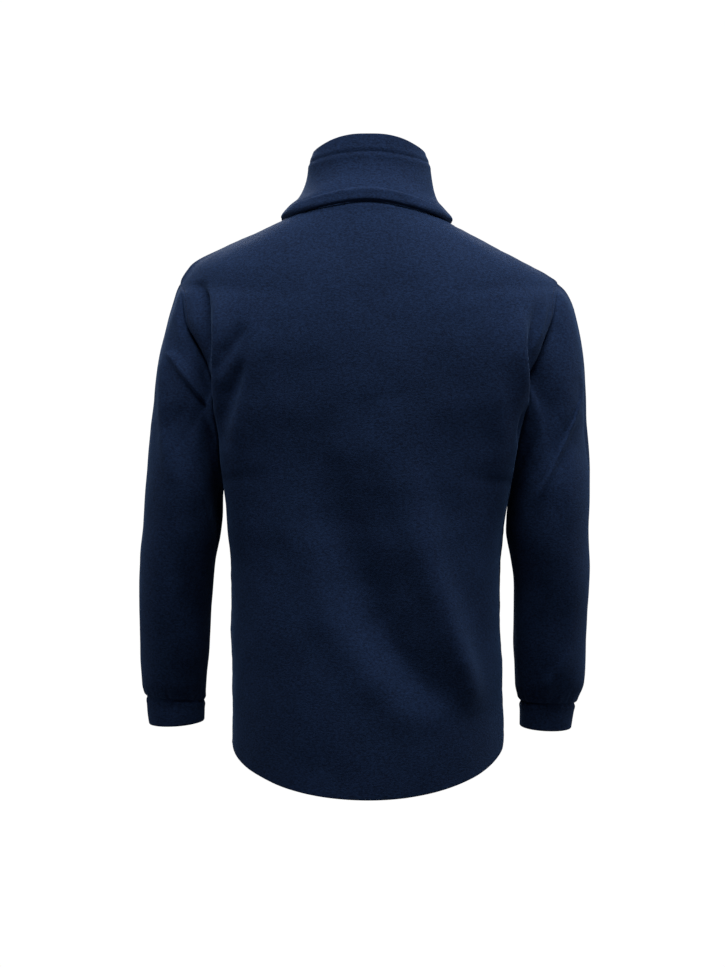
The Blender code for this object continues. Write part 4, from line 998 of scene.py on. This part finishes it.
# ---------------------------------------------------------------- hard pieces
def select(*made):
    """These alone selected, the first of them active."""
    bpy.ops.object.select_all(action="DESELECT")
    for each in made:
        each.select_set(True)
    bpy.context.view_layer.objects.active = made[0]


def add(kind, name, **settings):
    """A new primitive, alone selected and active."""
    bpy.ops.object.select_all(action="DESELECT")
    getattr(bpy.ops.mesh, "primitive_" + kind + "_add")(**settings)
    made = bpy.context.object
    made.name = made.data.name = name
    return made


class Editing:
    """A piece in edit mode, with what its operators act on picked by place."""

    def __init__(self, made):
        self.made = made

    def __enter__(self):
        bpy.ops.object.mode_set(mode="EDIT")
        return self

    def __exit__(self, *_):
        bpy.ops.object.mode_set(mode="OBJECT")

    def pick(self, kind, test):
        """Select the verts or edges for which test holds, of their middle and of themselves."""
        bpy.ops.mesh.select_mode(type={"verts": "VERT", "edges": "EDGE"}[kind])
        bpy.ops.mesh.select_all(action="DESELECT")
        mesh = bmesh.from_edit_mesh(self.made.data)
        chosen = 0
        for item in getattr(mesh, kind):
            corners = [item] if kind == "verts" else item.verts
            middle = sum((v.co for v in corners), Vector()) / len(corners)
            if test(middle, item):
                item.select_set(True)
                chosen += 1
        if not chosen:
            raise RuntimeError("nothing was picked on " + self.made.name)
        mesh.select_flush_mode()
        bmesh.update_edit_mesh(self.made.data)

    def stretch(self, test, size):
        """Resize what is between the picked verts about their middle."""
        self.pick("verts", test)
        bpy.ops.transform.resize(value=size)

    def round_off(self, test, offset, segments):
        """Bevel the picked edges."""
        self.pick("edges", test)
        bpy.ops.mesh.bevel(offset=offset, segments=segments, affect="EDGES")

    def everything(self):
        bpy.ops.mesh.select_mode(type="VERT")
        bpy.ops.mesh.select_all(action="SELECT")


def deep(edge):
    """How far an edge runs along Y."""
    return abs(edge.verts[0].co.y - edge.verts[1].co.y)


def block(name, middle, size):
    """A cuboid of a size about a middle, to be worked on."""
    made = add("cube", name, size=1)
    with Editing(made) as editing:
        editing.everything()
        bpy.ops.transform.resize(value=size)
        bpy.ops.transform.translate(value=middle)
    return made


def apply_modifier(made, kind, **settings):
    modifier = made.modifiers.new(kind.lower(), kind)
    for name, value in settings.items():
        setattr(modifier, name, value)
    select(made)
    bpy.ops.object.modifier_apply(modifier=modifier.name)


def soften(made, width, segments=2, degrees=35):
    """Round the hard edges off."""
    apply_modifier(
        made, "BEVEL", width=width, segments=segments,
        limit_method="ANGLE", angle_limit=math.radians(degrees),
    )


def cut(made, cutter):
    apply_modifier(made, "BOOLEAN", object=cutter, operation="DIFFERENCE", solver="EXACT")
    bpy.data.objects.remove(cutter)


def join(*made):
    select(*made)
    bpy.ops.object.join()
    return made[0]


def smooth_by_angle(made, degrees=38):
    select(made)
    bpy.ops.object.shade_smooth_by_angle(angle=math.radians(degrees))


def set_down(made, matrix):
    """Move a finished piece's mesh to its place, with the object left at the origin."""
    made.data.transform(made.matrix_world)
    made.matrix_world = Matrix()
    made.data.transform(matrix)


def repeat(name, pattern, places):
    """One mesh of many copies of a small piece, at the matrices in places."""
    count = len(pattern.data.vertices)
    points = np.empty(count * 3)
    pattern.data.vertices.foreach_get("co", points)
    points = np.column_stack([points.reshape(-1, 3), np.ones(count)])
    matrices = np.array(places, float)
    spread = np.einsum("nij,kj->nki", matrices[:, :3, :], points).reshape(-1, 3)
    faces = [tuple(polygon.vertices) for polygon in pattern.data.polygons]
    starts = range(0, count * len(matrices), count)
    many = [tuple(start + v for v in face) for start in starts for face in faces]
    return mesh_object(name, spread, many)


def fit_out(made, body, slot, finish, *nodes):
    """Give a hard piece its body and finish, and hide the nodes that it stands for. The slot is not
    used.
    """
    made.data.materials.clear()
    made.data.materials.append(finish)
    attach(made, body)
    if nodes:
        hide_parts(*nodes)


# ---------------------------------------------------------------- finishes
def arithmetic(operation, swapped=False):
    """A method for an arithmetic sign, or for the sign with a plain number before it."""
    def act(self, other):
        return self.math(operation, *((other, self) if swapped else (self, other)))
    return act


class Shade:
    """A number from a node's socket in a finish. Arithmetic on it adds Math nodes."""

    __add__, __radd__ = arithmetic("ADD"), arithmetic("ADD", True)
    __sub__, __rsub__ = arithmetic("SUBTRACT"), arithmetic("SUBTRACT", True)
    __mul__, __rmul__ = arithmetic("MULTIPLY"), arithmetic("MULTIPLY", True)

    def __init__(self, finish, socket):
        self.finish, self.socket = finish, socket

    def math(self, operation, *values):
        sockets = dict(zip(("Value", "Value_001", "Value_002"), values))
        made = self.finish.node("Math", sockets, operation=operation)
        return Shade(self.finish, made.outputs[0])

    def power(self, exponent):
        return self.math("POWER", self, exponent)

    def sine(self):
        return self.math("SINE", self)

    def size(self):
        return self.math("ABSOLUTE", self)

    def between(self, low, high):
        """0 below low, 1 above high, smooth on the way."""
        sockets = {"Value": self, "From Min": low, "From Max": high}
        made = self.finish.node("MapRange", sockets, interpolation_type="SMOOTHSTEP")
        return Shade(self.finish, made.outputs["Result"])


class Nodes:
    """The node tree of a material or of the world, in the making."""

    def __init__(self, owner, shader):
        owner.use_nodes = True
        self.tree = owner.node_tree
        self.shader = self.tree.nodes[shader]

    def node(self, kind, sockets=None, **settings):
        """Any node: its settings first, then the values or links of its sockets."""
        made = self.tree.nodes.new("ShaderNode" + kind)
        for name, value in settings.items():
            setattr(made, name, value)
        for name, value in (sockets or {}).items():
            self.feed(self.find(made.inputs, name), value)
        return made

    def find(self, sockets, name):
        for socket in sockets:
            if socket.identifier == name:
                return socket
        return sockets[name]

    def feed(self, socket, value):
        if isinstance(value, Shade):
            value = value.socket
        if isinstance(value, bpy.types.NodeSocket):
            self.tree.links.new(value, socket)
        else:
            socket.default_value = value

    def set(self, socket, value):
        """Feed one of the shader's sockets."""
        self.feed(self.shader.inputs[socket], value)


class Finish(Nodes):
    """A material in the making."""

    def __init__(self, name, **constants):
        self.material = bpy.data.materials.new(name)
        super().__init__(self.material, "Principled BSDF")
        for socket, value in constants.items():
            self.set(socket.replace("_", " "), value)

    def place(self, scale=(1.0, 1.0, 1.0)):
        """Object coordinates, stretched."""
        where = self.node("TexCoord").outputs["Object"]
        return self.node("Mapping", {"Vector": where, "Scale": scale}).outputs["Vector"]

    def axes(self, where):
        parts = self.node("SeparateXYZ", {"Vector": where}).outputs
        return [Shade(self, parts[axis]) for axis in "XYZ"]

    def noise(self, where, scale, detail=2.0, roughness=0.5, distortion=0.0):
        sockets = {
            "Vector": where, "Scale": scale, "Detail": detail,
            "Roughness": roughness, "Distortion": distortion,
        }
        return Shade(self, self.node("TexNoise", sockets).outputs[0])

    def mix(self, factor, a, b):
        """A colour between two, by a factor."""
        sockets = {"Factor_Float": factor, "A_Color": a, "B_Color": b}
        made = self.node("Mix", sockets, data_type="RGBA")
        return self.find(made.outputs, "Result_Color")

    def bump(self, height, distance, strength):
        sockets = {"Height": height, "Distance": distance, "Strength": strength}
        self.set("Normal", self.node("Bump", sockets).outputs[0])


def opaque(colour, share=1.0, more=0.0):
    """A colour, or so much of it and a little more, with its alpha."""
    return (*(min(1.0, share * part + more) for part in colour), 1.0)


@functools.lru_cache(maxsize=None)
def fleece_finish():
    """Brushed pile: short fibres in clumps. The colour varies at random, and painted shade makes it
    darker between the clumps and lighter on them, where the bump stands high.
    """
    cloth = bpy.context.scene.jacket_cloth
    made = Finish(
        "brushed_fleece",
        Sheen_Weight=cloth.sheen,
        Sheen_Roughness=0.42,
        Sheen_Tint=opaque(cloth.fleece_sheen),
        Specular_IOR_Level=0.08,
    )
    level = made.place()
    streaked = made.place((0.72, 0.72, 1.25))
    broad = made.noise(level, 11.0, 3.0, 0.55)
    clumps = made.noise(streaked, 420.0, 2.5, 0.62, 0.35)
    specks = made.noise(streaked, 1000.0, 2.0, 0.6)
    fibres = made.noise(level, 2300.0, 1.0, 0.5)
    # pile is both the bump's height and painted shade: the colour is darker where the pile lies low
    pile = clumps * 0.62 + specks * 0.28 + fibres * 0.1
    # tone: random broad tone, plus painted shade between the clumps of pile and painted light on
    # their tips
    tone = (broad - 0.5) * 0.35 + pile.between(0.34, 0.66)
    made.set("Base Color", made.mix(tone, opaque(cloth.fleece_dark_and_shade), opaque(cloth.fleece_light_and_lit)))
    made.set("Roughness", 0.98 - pile * 0.12)
    made.bump(pile, cloth.pile_depth, 0.85)
    return made.material


@functools.lru_cache(maxsize=None)
def thread_finish():
    """Twisted polyester thread."""
    thread = bpy.context.scene.jacket_sewing.thread
    made = Finish("twisted_thread", Specular_IOR_Level=0.12)
    twist = made.noise(made.place(), 1800.0, 2.0)
    shade = twist.between(0.3, 0.7)
    made.set("Base Color", made.mix(shade, opaque(thread, 0.6), opaque(thread)))
    made.set("Roughness", 0.5 + twist * 0.2)
    made.bump(twist, 0.0001, 0.6)
    return made.material


@functools.lru_cache(maxsize=None)
def tape_finish():
    """Herringbone-woven tape."""
    tape = bpy.context.scene.jacket_zip.tape
    made = Finish("woven_tape", Specular_IOR_Level=0.25)
    across, _, up = made.axes(made.node("TexCoord").outputs["Object"])
    chevron = across.math("PINGPONG", across.size(), 0.0012)
    warp = ((up + chevron) * (2 * math.pi / 0.0009)).sine()
    weft = (across * (2 * math.pi / 0.0007)).sine()
    weave = (warp * 0.7 + weft * 0.3) * 0.5 + 0.5
    wear = made.noise(made.place(), 60.0, 3.0)
    tone = weave * 0.75 + wear * 0.25
    made.set("Base Color", made.mix(tone, opaque(tape, 0.45), opaque(tape)))
    made.set("Roughness", 0.72 + wear * 0.2)
    made.bump(weave, 0.00025, 0.7)
    return made.material


@functools.lru_cache(maxsize=None)
def coil_finish():
    """Satin nylon of the teeth and the box."""
    coil = bpy.context.scene.jacket_zip.coil
    made = Finish("satin_nylon", Specular_IOR_Level=0.5, Coat_Roughness=0.3)
    grain = made.noise(made.place(), 900.0, 2.0)
    scuffs = made.noise(made.place((1.0, 1.0, 3.0)), 140.0, 4.0, 0.7)
    made.set("Base Color", made.mix(scuffs.between(0.35, 0.7), opaque(coil), opaque(coil, 0.7)))
    made.set("Roughness", 0.32 + scuffs * 0.22)
    made.bump(grain, 0.00006, 0.5)
    return made.material


@functools.lru_cache(maxsize=None)
def metal_finish():
    """Painted die-cast metal, a little polished where fingers and the teeth rub it."""
    metal = bpy.context.scene.jacket_zip.metal
    made = Finish("painted_metal", Metallic=0.55, Specular_IOR_Level=0.6)
    rub = made.noise(made.place(), 420.0, 4.0, 0.65)
    pits = made.noise(made.place(), 2600.0, 2.0)
    bare = opaque(metal, 3.2, 0.02)
    made.set("Base Color", made.mix(rub.between(0.6, 0.78), opaque(metal), bare))
    made.set("Roughness", 0.26 + rub * 0.25)
    made.bump(pits, 0.00005, 0.4)
    return made.material


@functools.lru_cache(maxsize=None)
def floor_finish():
    """Matt and even, fading out into the backdrop far from the jacket."""
    floor = bpy.context.scene.jacket_stage.floor
    made = Finish("pale_floor", Specular_IOR_Level=0.1)
    where = made.place()
    grain = made.noise(where, 40.0, 3.0)
    x, y, _ = made.axes(where)
    far = (x * x + y * y).power(0.5)
    made.set("Base Color", made.mix(grain, opaque(floor, 0.97), opaque(floor)))
    made.set("Roughness", 0.9 + grain * 0.05)
    made.set("Alpha", 1 - far.between(*FLOOR_FADE))
    return made.material


# ---------------------------------------------------------------- settings
def metres(name, description, default, low=0.0, high=0.1):
    return FloatProperty(
        name=name, description=description, default=default,
        min=low, max=high, precision=5, unit="LENGTH",
    )


def tint(name, description, default):
    return FloatVectorProperty(
        name=name, description=description, default=default,
        min=0.0, max=1.0, size=3, subtype="COLOR",
    )


class ClothSettings(bpy.types.PropertyGroup):
    """How the fleece lies, and its colours."""

    swell: metres("Swell", "Height of the cloth's small unevenness", 0.0011)
    seam_half_width: metres("Seam half width", "Half the width of the groove at a seam", 0.0019)
    seam_puff: metres("Seam puff", "How far the cloth swells beside a seam", 0.0005)
    pile_depth: metres("Pile depth", "Depth of the clumped pile", 0.0008)
    sheen: FloatProperty(
        name="Sheen", description="Light caught by the fibre tips",
        default=0.09, min=0.0, max=1.0, subtype="FACTOR",
    )
    # The two fleece colours hold random tone and painted shade: the dark one is painted between the
    # clumps of pile, the light one on their tips
    fleece_dark_and_shade: tint("Fleece, dark", "Between the clumps of pile", (0.0025, 0.0062, 0.0190))
    fleece_light_and_lit: tint("Fleece, light", "On the clumps of pile", (0.0066, 0.0170, 0.0500))
    fleece_sheen: tint("Fleece, sheen", "Light at grazing angles", (0.20, 0.42, 0.90))


class SewingSettings(bpy.types.PropertyGroup):
    """The visible stitching."""

    stitch: metres("Stitch", "Length of a stitch with its gap", 0.0030)
    thickness: metres("Thread", "Thickness of the thread", 0.0005)
    thread: tint("Thread colour", "Colour of the sewing thread", (0.0040, 0.0080, 0.0220))


class ZipSettings(bpy.types.PropertyGroup):
    """The closed coil zip."""

    pitch: metres("Pitch", "From one tooth to the next on the same side", 0.0015)
    tooth_high: metres("Tooth height", "How far the teeth stand off the tapes", 0.0016)
    tape: tint("Tape", "Colour of the woven tape", (0.0100, 0.0140, 0.0320))
    coil: tint("Coil", "Colour of the teeth and the box", (0.0100, 0.0120, 0.0260))
    metal: tint("Metal", "Colour of the slider and the pull", (0.0140, 0.0160, 0.0240))


class StageSettings(bpy.types.PropertyGroup):
    """The floor, the lights and the camera."""

    lens: FloatProperty(
        name="Lens", description="Focal length on a 36 mm sensor", default=91.62,
        min=20.0, max=300.0, unit="CAMERA",
    )
    aside: metres("Camera aside", "From the jacket's middle to the wearer's left", 0.0065, -1, 1)
    far: metres("Distance", "From the jacket's middle to the camera", 3.2, 1.0, 10.0)
    height: metres("Camera height", "Above the origin", -0.347, -3.0, 3.0)
    floor_height: metres("Floor height", "Above the origin", -2.4, -5.0, 0.0)
    floor: tint("Floor", "Colour of the floor", (0.40, 0.40, 0.40))
    key: FloatProperty(
        name="Key light", description="Power of the large light above the back",
        default=150.0, min=0.0, unit="POWER",
    )


# ---------------------------------------------------------------- operators
def make_cloth(*names):
    cloth = bpy.context.scene.jacket_cloth
    for name in names:
        sheet = jacket_sheets()[name]
        made = cloth_object(sheet, relief(sheet, cloth))
        made.data.materials.append(fleece_finish())


class MakeBody(bpy.types.Operator):
    """The back and the two fronts"""

    bl_idname = "jacket.body"
    bl_label = "Back and fronts"

    def execute(self, context):
        make_cloth("back", "front_left", "front_right")
        return {"FINISHED"}


class MakeSleeves(bpy.types.Operator):
    """The set-in sleeves and their cuffs"""

    bl_idname = "jacket.sleeves"
    bl_label = "Sleeves and cuffs"

    def execute(self, context):
        make_cloth("sleeve_left", "sleeve_right", "cuff_left", "cuff_right")
        return {"FINISHED"}


class MakeCollar(bpy.types.Operator):
    """The stand collar and its top band"""

    bl_idname = "jacket.collar"
    bl_label = "Collar"

    def execute(self, context):
        make_cloth("collar", "collar_band")
        return {"FINISHED"}


def stitch_pattern(length, thickness):
    """One stitch lying along X, its two ends dipping into the cloth."""
    made = add("cube", "stitch", size=1)
    end = length * 0.3
    with Editing(made) as editing:
        editing.everything()
        bpy.ops.transform.resize(value=(length * 0.82, thickness * 1.25, thickness))
        bpy.ops.mesh.subdivide(number_cuts=1)
        editing.stretch(lambda at, _: abs(at.x) > end, (1.0, 0.55, 0.55))
        bpy.ops.transform.translate(value=(0, 0, -thickness * 0.5))
        on_top = lambda at, _: abs(at.x) < end and abs(at.y) < thickness / 9
        editing.stretch(on_top, (1.0, 1.0, 1.22))
    return made


def along_line(points, normals, step):
    """Matrices at even steps along a line, X on along it and Z out of the cloth."""
    lengths = lengths_along(points)
    count = int(lengths[-1] // step)
    at = (np.arange(count) + 0.5) * lengths[-1] / count
    ahead, behind = (read_line(at + off, lengths, points) for off in (step / 3, -step / 3))
    way = unit(ahead - behind)
    across = unit(np.cross(read_line(at, lengths, normals), way))
    matrices = np.zeros((count, 4, 4))
    columns = (way, across, np.cross(way, across), read_line(at, lengths, points))
    matrices[:, :3] = np.stack(columns, axis=-1)
    matrices[:, 3, 3] = 1
    return matrices


class MakeSewing(bpy.types.Operator):
    """The stitching beside the armholes and the zip"""

    bl_idname = "jacket.sewing"
    bl_label = "Stitching"

    def execute(self, context):
        sewing, cloth = context.scene.jacket_sewing, context.scene.jacket_cloth
        pattern = stitch_pattern(sewing.stitch, sewing.thickness)
        for name, sheet in jacket_sheets().items():
            outer, _ = cloth_faces(sheet, relief(sheet, cloth))
            lines = []
            for edge, shown in stitched_edges(sheet):
                column = {"first": STITCHED_COLUMN, "last": -1 - STITCHED_COLUMN}[edge]
                normals = sheet.normals[shown > 0.5, column]
                points = outer[shown > 0.5, column] + normals * sewing.thickness * THREAD_LIFT
                lines.append(along_line(points, normals, sewing.stitch))
            if lines:
                made = repeat("stitches_" + name, pattern, np.concatenate(lines))
                fit_out(made, JACKET, "fleece", thread_finish())
        bpy.data.objects.remove(pattern)
        return {"FINISHED"}


TOOTH_REACH = (-0.0030, 0.0009)     # X of the two ends of a tooth on the -X side


class MakeTeeth(bpy.types.Operator):
    """The closed coil between the tapes"""

    bl_idname = "jacket.teeth"
    bl_label = "Zip teeth"

    def execute(self, context):
        settings = context.scene.jacket_zip
        low, high = TOOTH_REACH
        thick = settings.pitch * 0.46
        tooth = block("tooth", ((low + high) / 2, 0, 0), (high - low, settings.tooth_high, thick))
        with Editing(tooth) as editing:
            editing.stretch(lambda at, _: at.x > 0, (1.0, 0.82, 1.3))
        soften(tooth, thick * 0.32, 1)
        line = zip_line()
        first = line.box + BOX_LENGTH / 2 + CHAIN_CLEARANCE + thick
        last = line.slider - SLIDER_LENGTH / 2 - CHAIN_CLEARANCE - thick
        count = int((last - first) / settings.pitch * 2)
        forward = CHAIN_CLEARANCE + settings.tooth_high / 2
        turns = (Matrix(), Matrix.Rotation(math.pi, 4, "Z"))    # from one side, then the other
        places = []
        for number in range(count):
            at = first + number * (last - first) / (count - 1)
            places.append(line.place(at, forward) @ turns[number % 2])
        made = repeat("zip_teeth", tooth, places)
        bpy.data.objects.remove(tooth)
        smooth_by_angle(made, 30)
        fit_out(made, JACKET, "zip_coil", coil_finish(), "zip_chain")
        return {"FINISHED"}


def two_plates(name, half_width, length, lift, plate, narrow):
    """A front and a back plate on a web, narrower at the bottom. Its own -Y faces out."""
    plates = []
    for near, middle in (("front", -lift - plate / 2), ("rear", PLATE_BACK + plate / 2)):
        made = block(name + "_" + near, (0, middle, 0), (2 * half_width, plate, length))
        with Editing(made) as editing:
            editing.stretch(lambda at, _: at.z < 0, (narrow, 1.0, 1.0))
            editing.round_off(lambda _, edge: deep(edge) > plate / 2, half_width * 0.34, 4)
        soften(made, plate * 0.26, 3)
        plates.append(made)
    size = (2 * WEB_HALF_WIDTH, lift + PLATE_BACK + plate, length * 0.6)
    web = block(name + "_web", (0, (PLATE_BACK - lift) / 2, 0), size)
    soften(web, WEB_HALF_WIDTH * 0.5)
    return join(*plates, web)


def bail_block(name, half_width, foot, over, half_length, offset):
    """A block from foot out to over, with its two outer edges rounded."""
    middle, size = (0, (foot + over) / 2, 0), (2 * half_width, foot - over, 2 * half_length)
    made = block(name, middle, size)
    with Editing(made) as editing:
        outside = lambda at, _: at.y < over + NEAR and abs(at.z) > half_length * 0.9
        editing.round_off(outside, offset, 4)
    return made


def bail():
    """The slider's bridge: a block with a rounded opening through it."""
    plate = SLIDER_LIFT + SLIDER_PLATE
    foot, over = -(plate - SLIDER_PLATE / 2), -(plate + BAIL_CLEAR_HEIGHT + BAIL_THICKNESS)
    outer = BAIL_HALF_OPENING + BAIL_THICKNESS
    made = bail_block("bail", BAIL_HALF_WIDTH, foot, over, outer, BAIL_THICKNESS * 1.3)
    inside, rounding_off = over + BAIL_THICKNESS, BAIL_HALF_OPENING * 0.7
    wide = 3 * BAIL_HALF_WIDTH
    cut(made, bail_block("bail_hole", wide, foot, inside, BAIL_HALF_OPENING, rounding_off))
    soften(made, BAIL_THICKNESS * 0.28)
    return made


class MakeSlider(bpy.types.Operator):
    """The slider with its bridge, and the box at the bottom"""

    bl_idname = "jacket.slider"
    bl_label = "Slider and box"

    def execute(self, context):
        line = zip_line()
        sizes = (SLIDER_HALF_WIDTH, SLIDER_LENGTH, SLIDER_LIFT, SLIDER_PLATE)
        slider = join(two_plates("slider", *sizes, 0.74), bail())
        smooth_by_angle(slider)
        set_down(slider, line.place(line.slider))
        fit_out(slider, JACKET, "zip_metal", metal_finish(), "zip_slider")
        box = two_plates("box", BOX_HALF_WIDTH, BOX_LENGTH, BOX_LIFT, BOX_PLATE, 0.92)
        smooth_by_angle(box)
        set_down(box, line.place(line.box))
        fit_out(box, JACKET, "zip_coil", coil_finish(), "zip_box")
        return {"FINISHED"}


class MakePull(bpy.types.Operator):
    """The pull tab, turning about its bar under the slider's bridge"""

    bl_idname = "jacket.pull"
    bl_label = "Pull tab"

    def execute(self, context):
        bar = PULL_BAR / 2
        long, thick = PULL_LENGTH + bar, 2 * PULL_HALF_THICKNESS
        made = block("pull", (0, 0, bar - long / 2), (2 * PULL_HALF_WIDTH, thick, long))
        with Editing(made) as editing:
            low = lambda at, edge: deep(edge) > thick / 2 and at.z < -long / 2
            editing.round_off(low, PULL_HALF_WIDTH * 0.98, 8)
            high = lambda at, edge: deep(edge) > thick / 2 and at.z > 0
            editing.round_off(high, PULL_HALF_WIDTH * 0.25, 3)
        size = (2 * EYE_HALF_WIDTH, 3 * thick, EYE_LENGTH)
        eye = block("eye", (0, 0, -bar - EYE_LENGTH / 2), size)
        soften(eye, EYE_HALF_WIDTH * 0.4, 3)
        cut(made, eye)
        soften(made, PULL_HALF_THICKNESS * 0.4)
        size = (PULL_HALF_WIDTH * 1.2, PULL_HALF_THICKNESS * 0.7, PULL_LENGTH * 0.52)
        grip = block("grip", (0, -PULL_HALF_THICKNESS * 0.9, -PULL_LENGTH * 0.62), size)
        soften(grip, PULL_HALF_WIDTH * 0.3, 4)
        cut(made, grip)
        smooth_by_angle(made, 30)
        line = zip_line()
        lean = Matrix.Rotation(line.lean(line.slider), 4, "X")
        set_down(made, Matrix.Translation(PIVOT) @ lean)
        fit_out(made, PULL_TAB, "zip_metal", metal_finish(), "zip_pull")
        return {"FINISHED"}


class FinishTapes(bpy.types.Operator):
    """The woven finish of the two tapes"""

    bl_idname = "jacket.tapes"
    bl_label = "Zip tapes"

    def execute(self, context):
        for name in ("zip_tape_left", "zip_tape_right"):
            for slot in bpy.data.objects[name].material_slots:
                slot.material = tape_finish()
        return {"FINISHED"}


MIDDLE = (0, 0, -0.30)
LIGHTS = (      # name, place, what it faces, width and height, share of the key light's power
    ("key_light", (-0.25, 0.95, 2.3), (0, 0.1, -0.2), (2.4, 0.9), 1.0),
    ("top_light", (0, -0.5, 2.2), (0, 0, 0), (2.0, 0.8), 0.08),
    ("rim_light_left", (2.0, -0.7, 0.5), MIDDLE, (0.6, 1.6), 0.05),
    ("side_light_left", (1.9, 0.75, 0.4), MIDDLE, (0.5, 1.5), 0.07),
    ("rim_light_right", (-2.0, -0.7, 0.5), MIDDLE, (0.6, 1.6), 0.09),
    ("side_light_right", (-1.9, 0.75, 0.4), MIDDLE, (0.5, 1.5), 0.07),
    ("front_light", (0.3, -2.2, 1.3), MIDDLE, (2.0, 1.0), 0.4),
)
WORLD_LIGHT, BACKDROP = 0.04, 1.02      # the world's strength on the cloth, and in the picture
FLOOR_RADIUS, FLOOR_FADE = 8.0, (3.0, 6.5)
SENSOR = 36                             # mm


def area_light(name, spot, aim, size, power):
    data = bpy.data.lights.new(name, "AREA")
    data.shape = "RECTANGLE"
    data.size, data.size_y = size
    data.energy = power
    made = bpy.data.objects.new(name, data)
    made.location = spot
    way = Vector(aim) - Vector(spot)
    made.rotation_euler = way.to_track_quat("-Z", "Y").to_euler()
    bpy.context.scene.collection.objects.link(made)


class MakeStage(bpy.types.Operator):
    """A plain pale floor, soft light and the camera"""

    bl_idname = "jacket.stage"
    bl_label = "Floor, lights and camera"

    def execute(self, context):
        stage = context.scene.jacket_stage
        floor = add("circle", "floor", vertices=96, radius=FLOOR_RADIUS, fill_type="NGON")
        set_down(floor, Matrix.Translation((0, 0, stage.floor_height)))
        floor.data.materials.append(floor_finish())
        floor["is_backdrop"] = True
        for name, spot, aim, size, share in LIGHTS:
            area_light(name, spot, aim, size, stage.key * share)

        world = bpy.data.worlds.new("studio")
        context.scene.world = world
        studio = Nodes(world, "Background")
        seen = studio.node("LightPath").outputs["Is Camera Ray"]
        sockets = {"Value": seen, "To Min": WORLD_LIGHT, "To Max": BACKDROP}
        studio.set("Color", (1.0, 1.0, 1.0, 1.0))
        studio.set("Strength", studio.node("MapRange", sockets).outputs["Result"])

        data = bpy.data.cameras.new("camera")
        data.sensor_width = data.sensor_height = SENSOR
        data.sensor_fit = "VERTICAL"
        data.lens = stage.lens
        camera = bpy.data.objects.new("camera", data)
        camera.location = (stage.aside, stage.far, stage.height)
        camera.rotation_euler = (math.pi / 2, 0, math.pi)
        context.scene.collection.objects.link(camera)
        context.scene.camera = camera
        context.scene.view_settings.view_transform = "Standard"
        return {"FINISHED"}


PIECES = (
    MakeBody, MakeSleeves, MakeCollar, MakeSewing,
    MakeTeeth, MakeSlider, MakePull, FinishTapes, MakeStage,
)
SETTINGS = {
    "jacket_cloth": ClothSettings,
    "jacket_sewing": SewingSettings,
    "jacket_zip": ZipSettings,
    "jacket_stage": StageSettings,
}


class JacketPanel(bpy.types.Panel):
    """The jacket's pieces and their settings"""

    bl_idname = "VIEW3D_PT_jacket"
    bl_label = "Fleece Zip Jacket"
    bl_space_type = "VIEW_3D"
    bl_region_type = "UI"
    bl_category = "Jacket"

    def draw(self, context):
        for name, group in SETTINGS.items():
            box = self.layout.box()
            settings = getattr(context.scene, name)
            for field in group.__annotations__:
                box.prop(settings, field)
        column = self.layout.column(align=True)
        for piece in PIECES:
            column.operator(piece.bl_idname)


def register():
    for made in (*SETTINGS.values(), *PIECES, JacketPanel):
        bpy.utils.register_class(made)
    for name, group in SETTINGS.items():
        setattr(bpy.types.Scene, name, PointerProperty(type=group))


def unregister():
    for name in SETTINGS:
        delattr(bpy.types.Scene, name)
    for made in reversed((*SETTINGS.values(), *PIECES, JacketPanel)):
        bpy.utils.unregister_class(made)


def main():
    register()
    for piece in PIECES:
        group, name = piece.bl_idname.split(".")
        getattr(getattr(bpy.ops, group), name)()
    low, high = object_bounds()
    sizes = {"cad": [list(corner) for corner in CAD_BOX], "visual": [list(low), list(high)]}


if __name__ == "__main__":
    main()
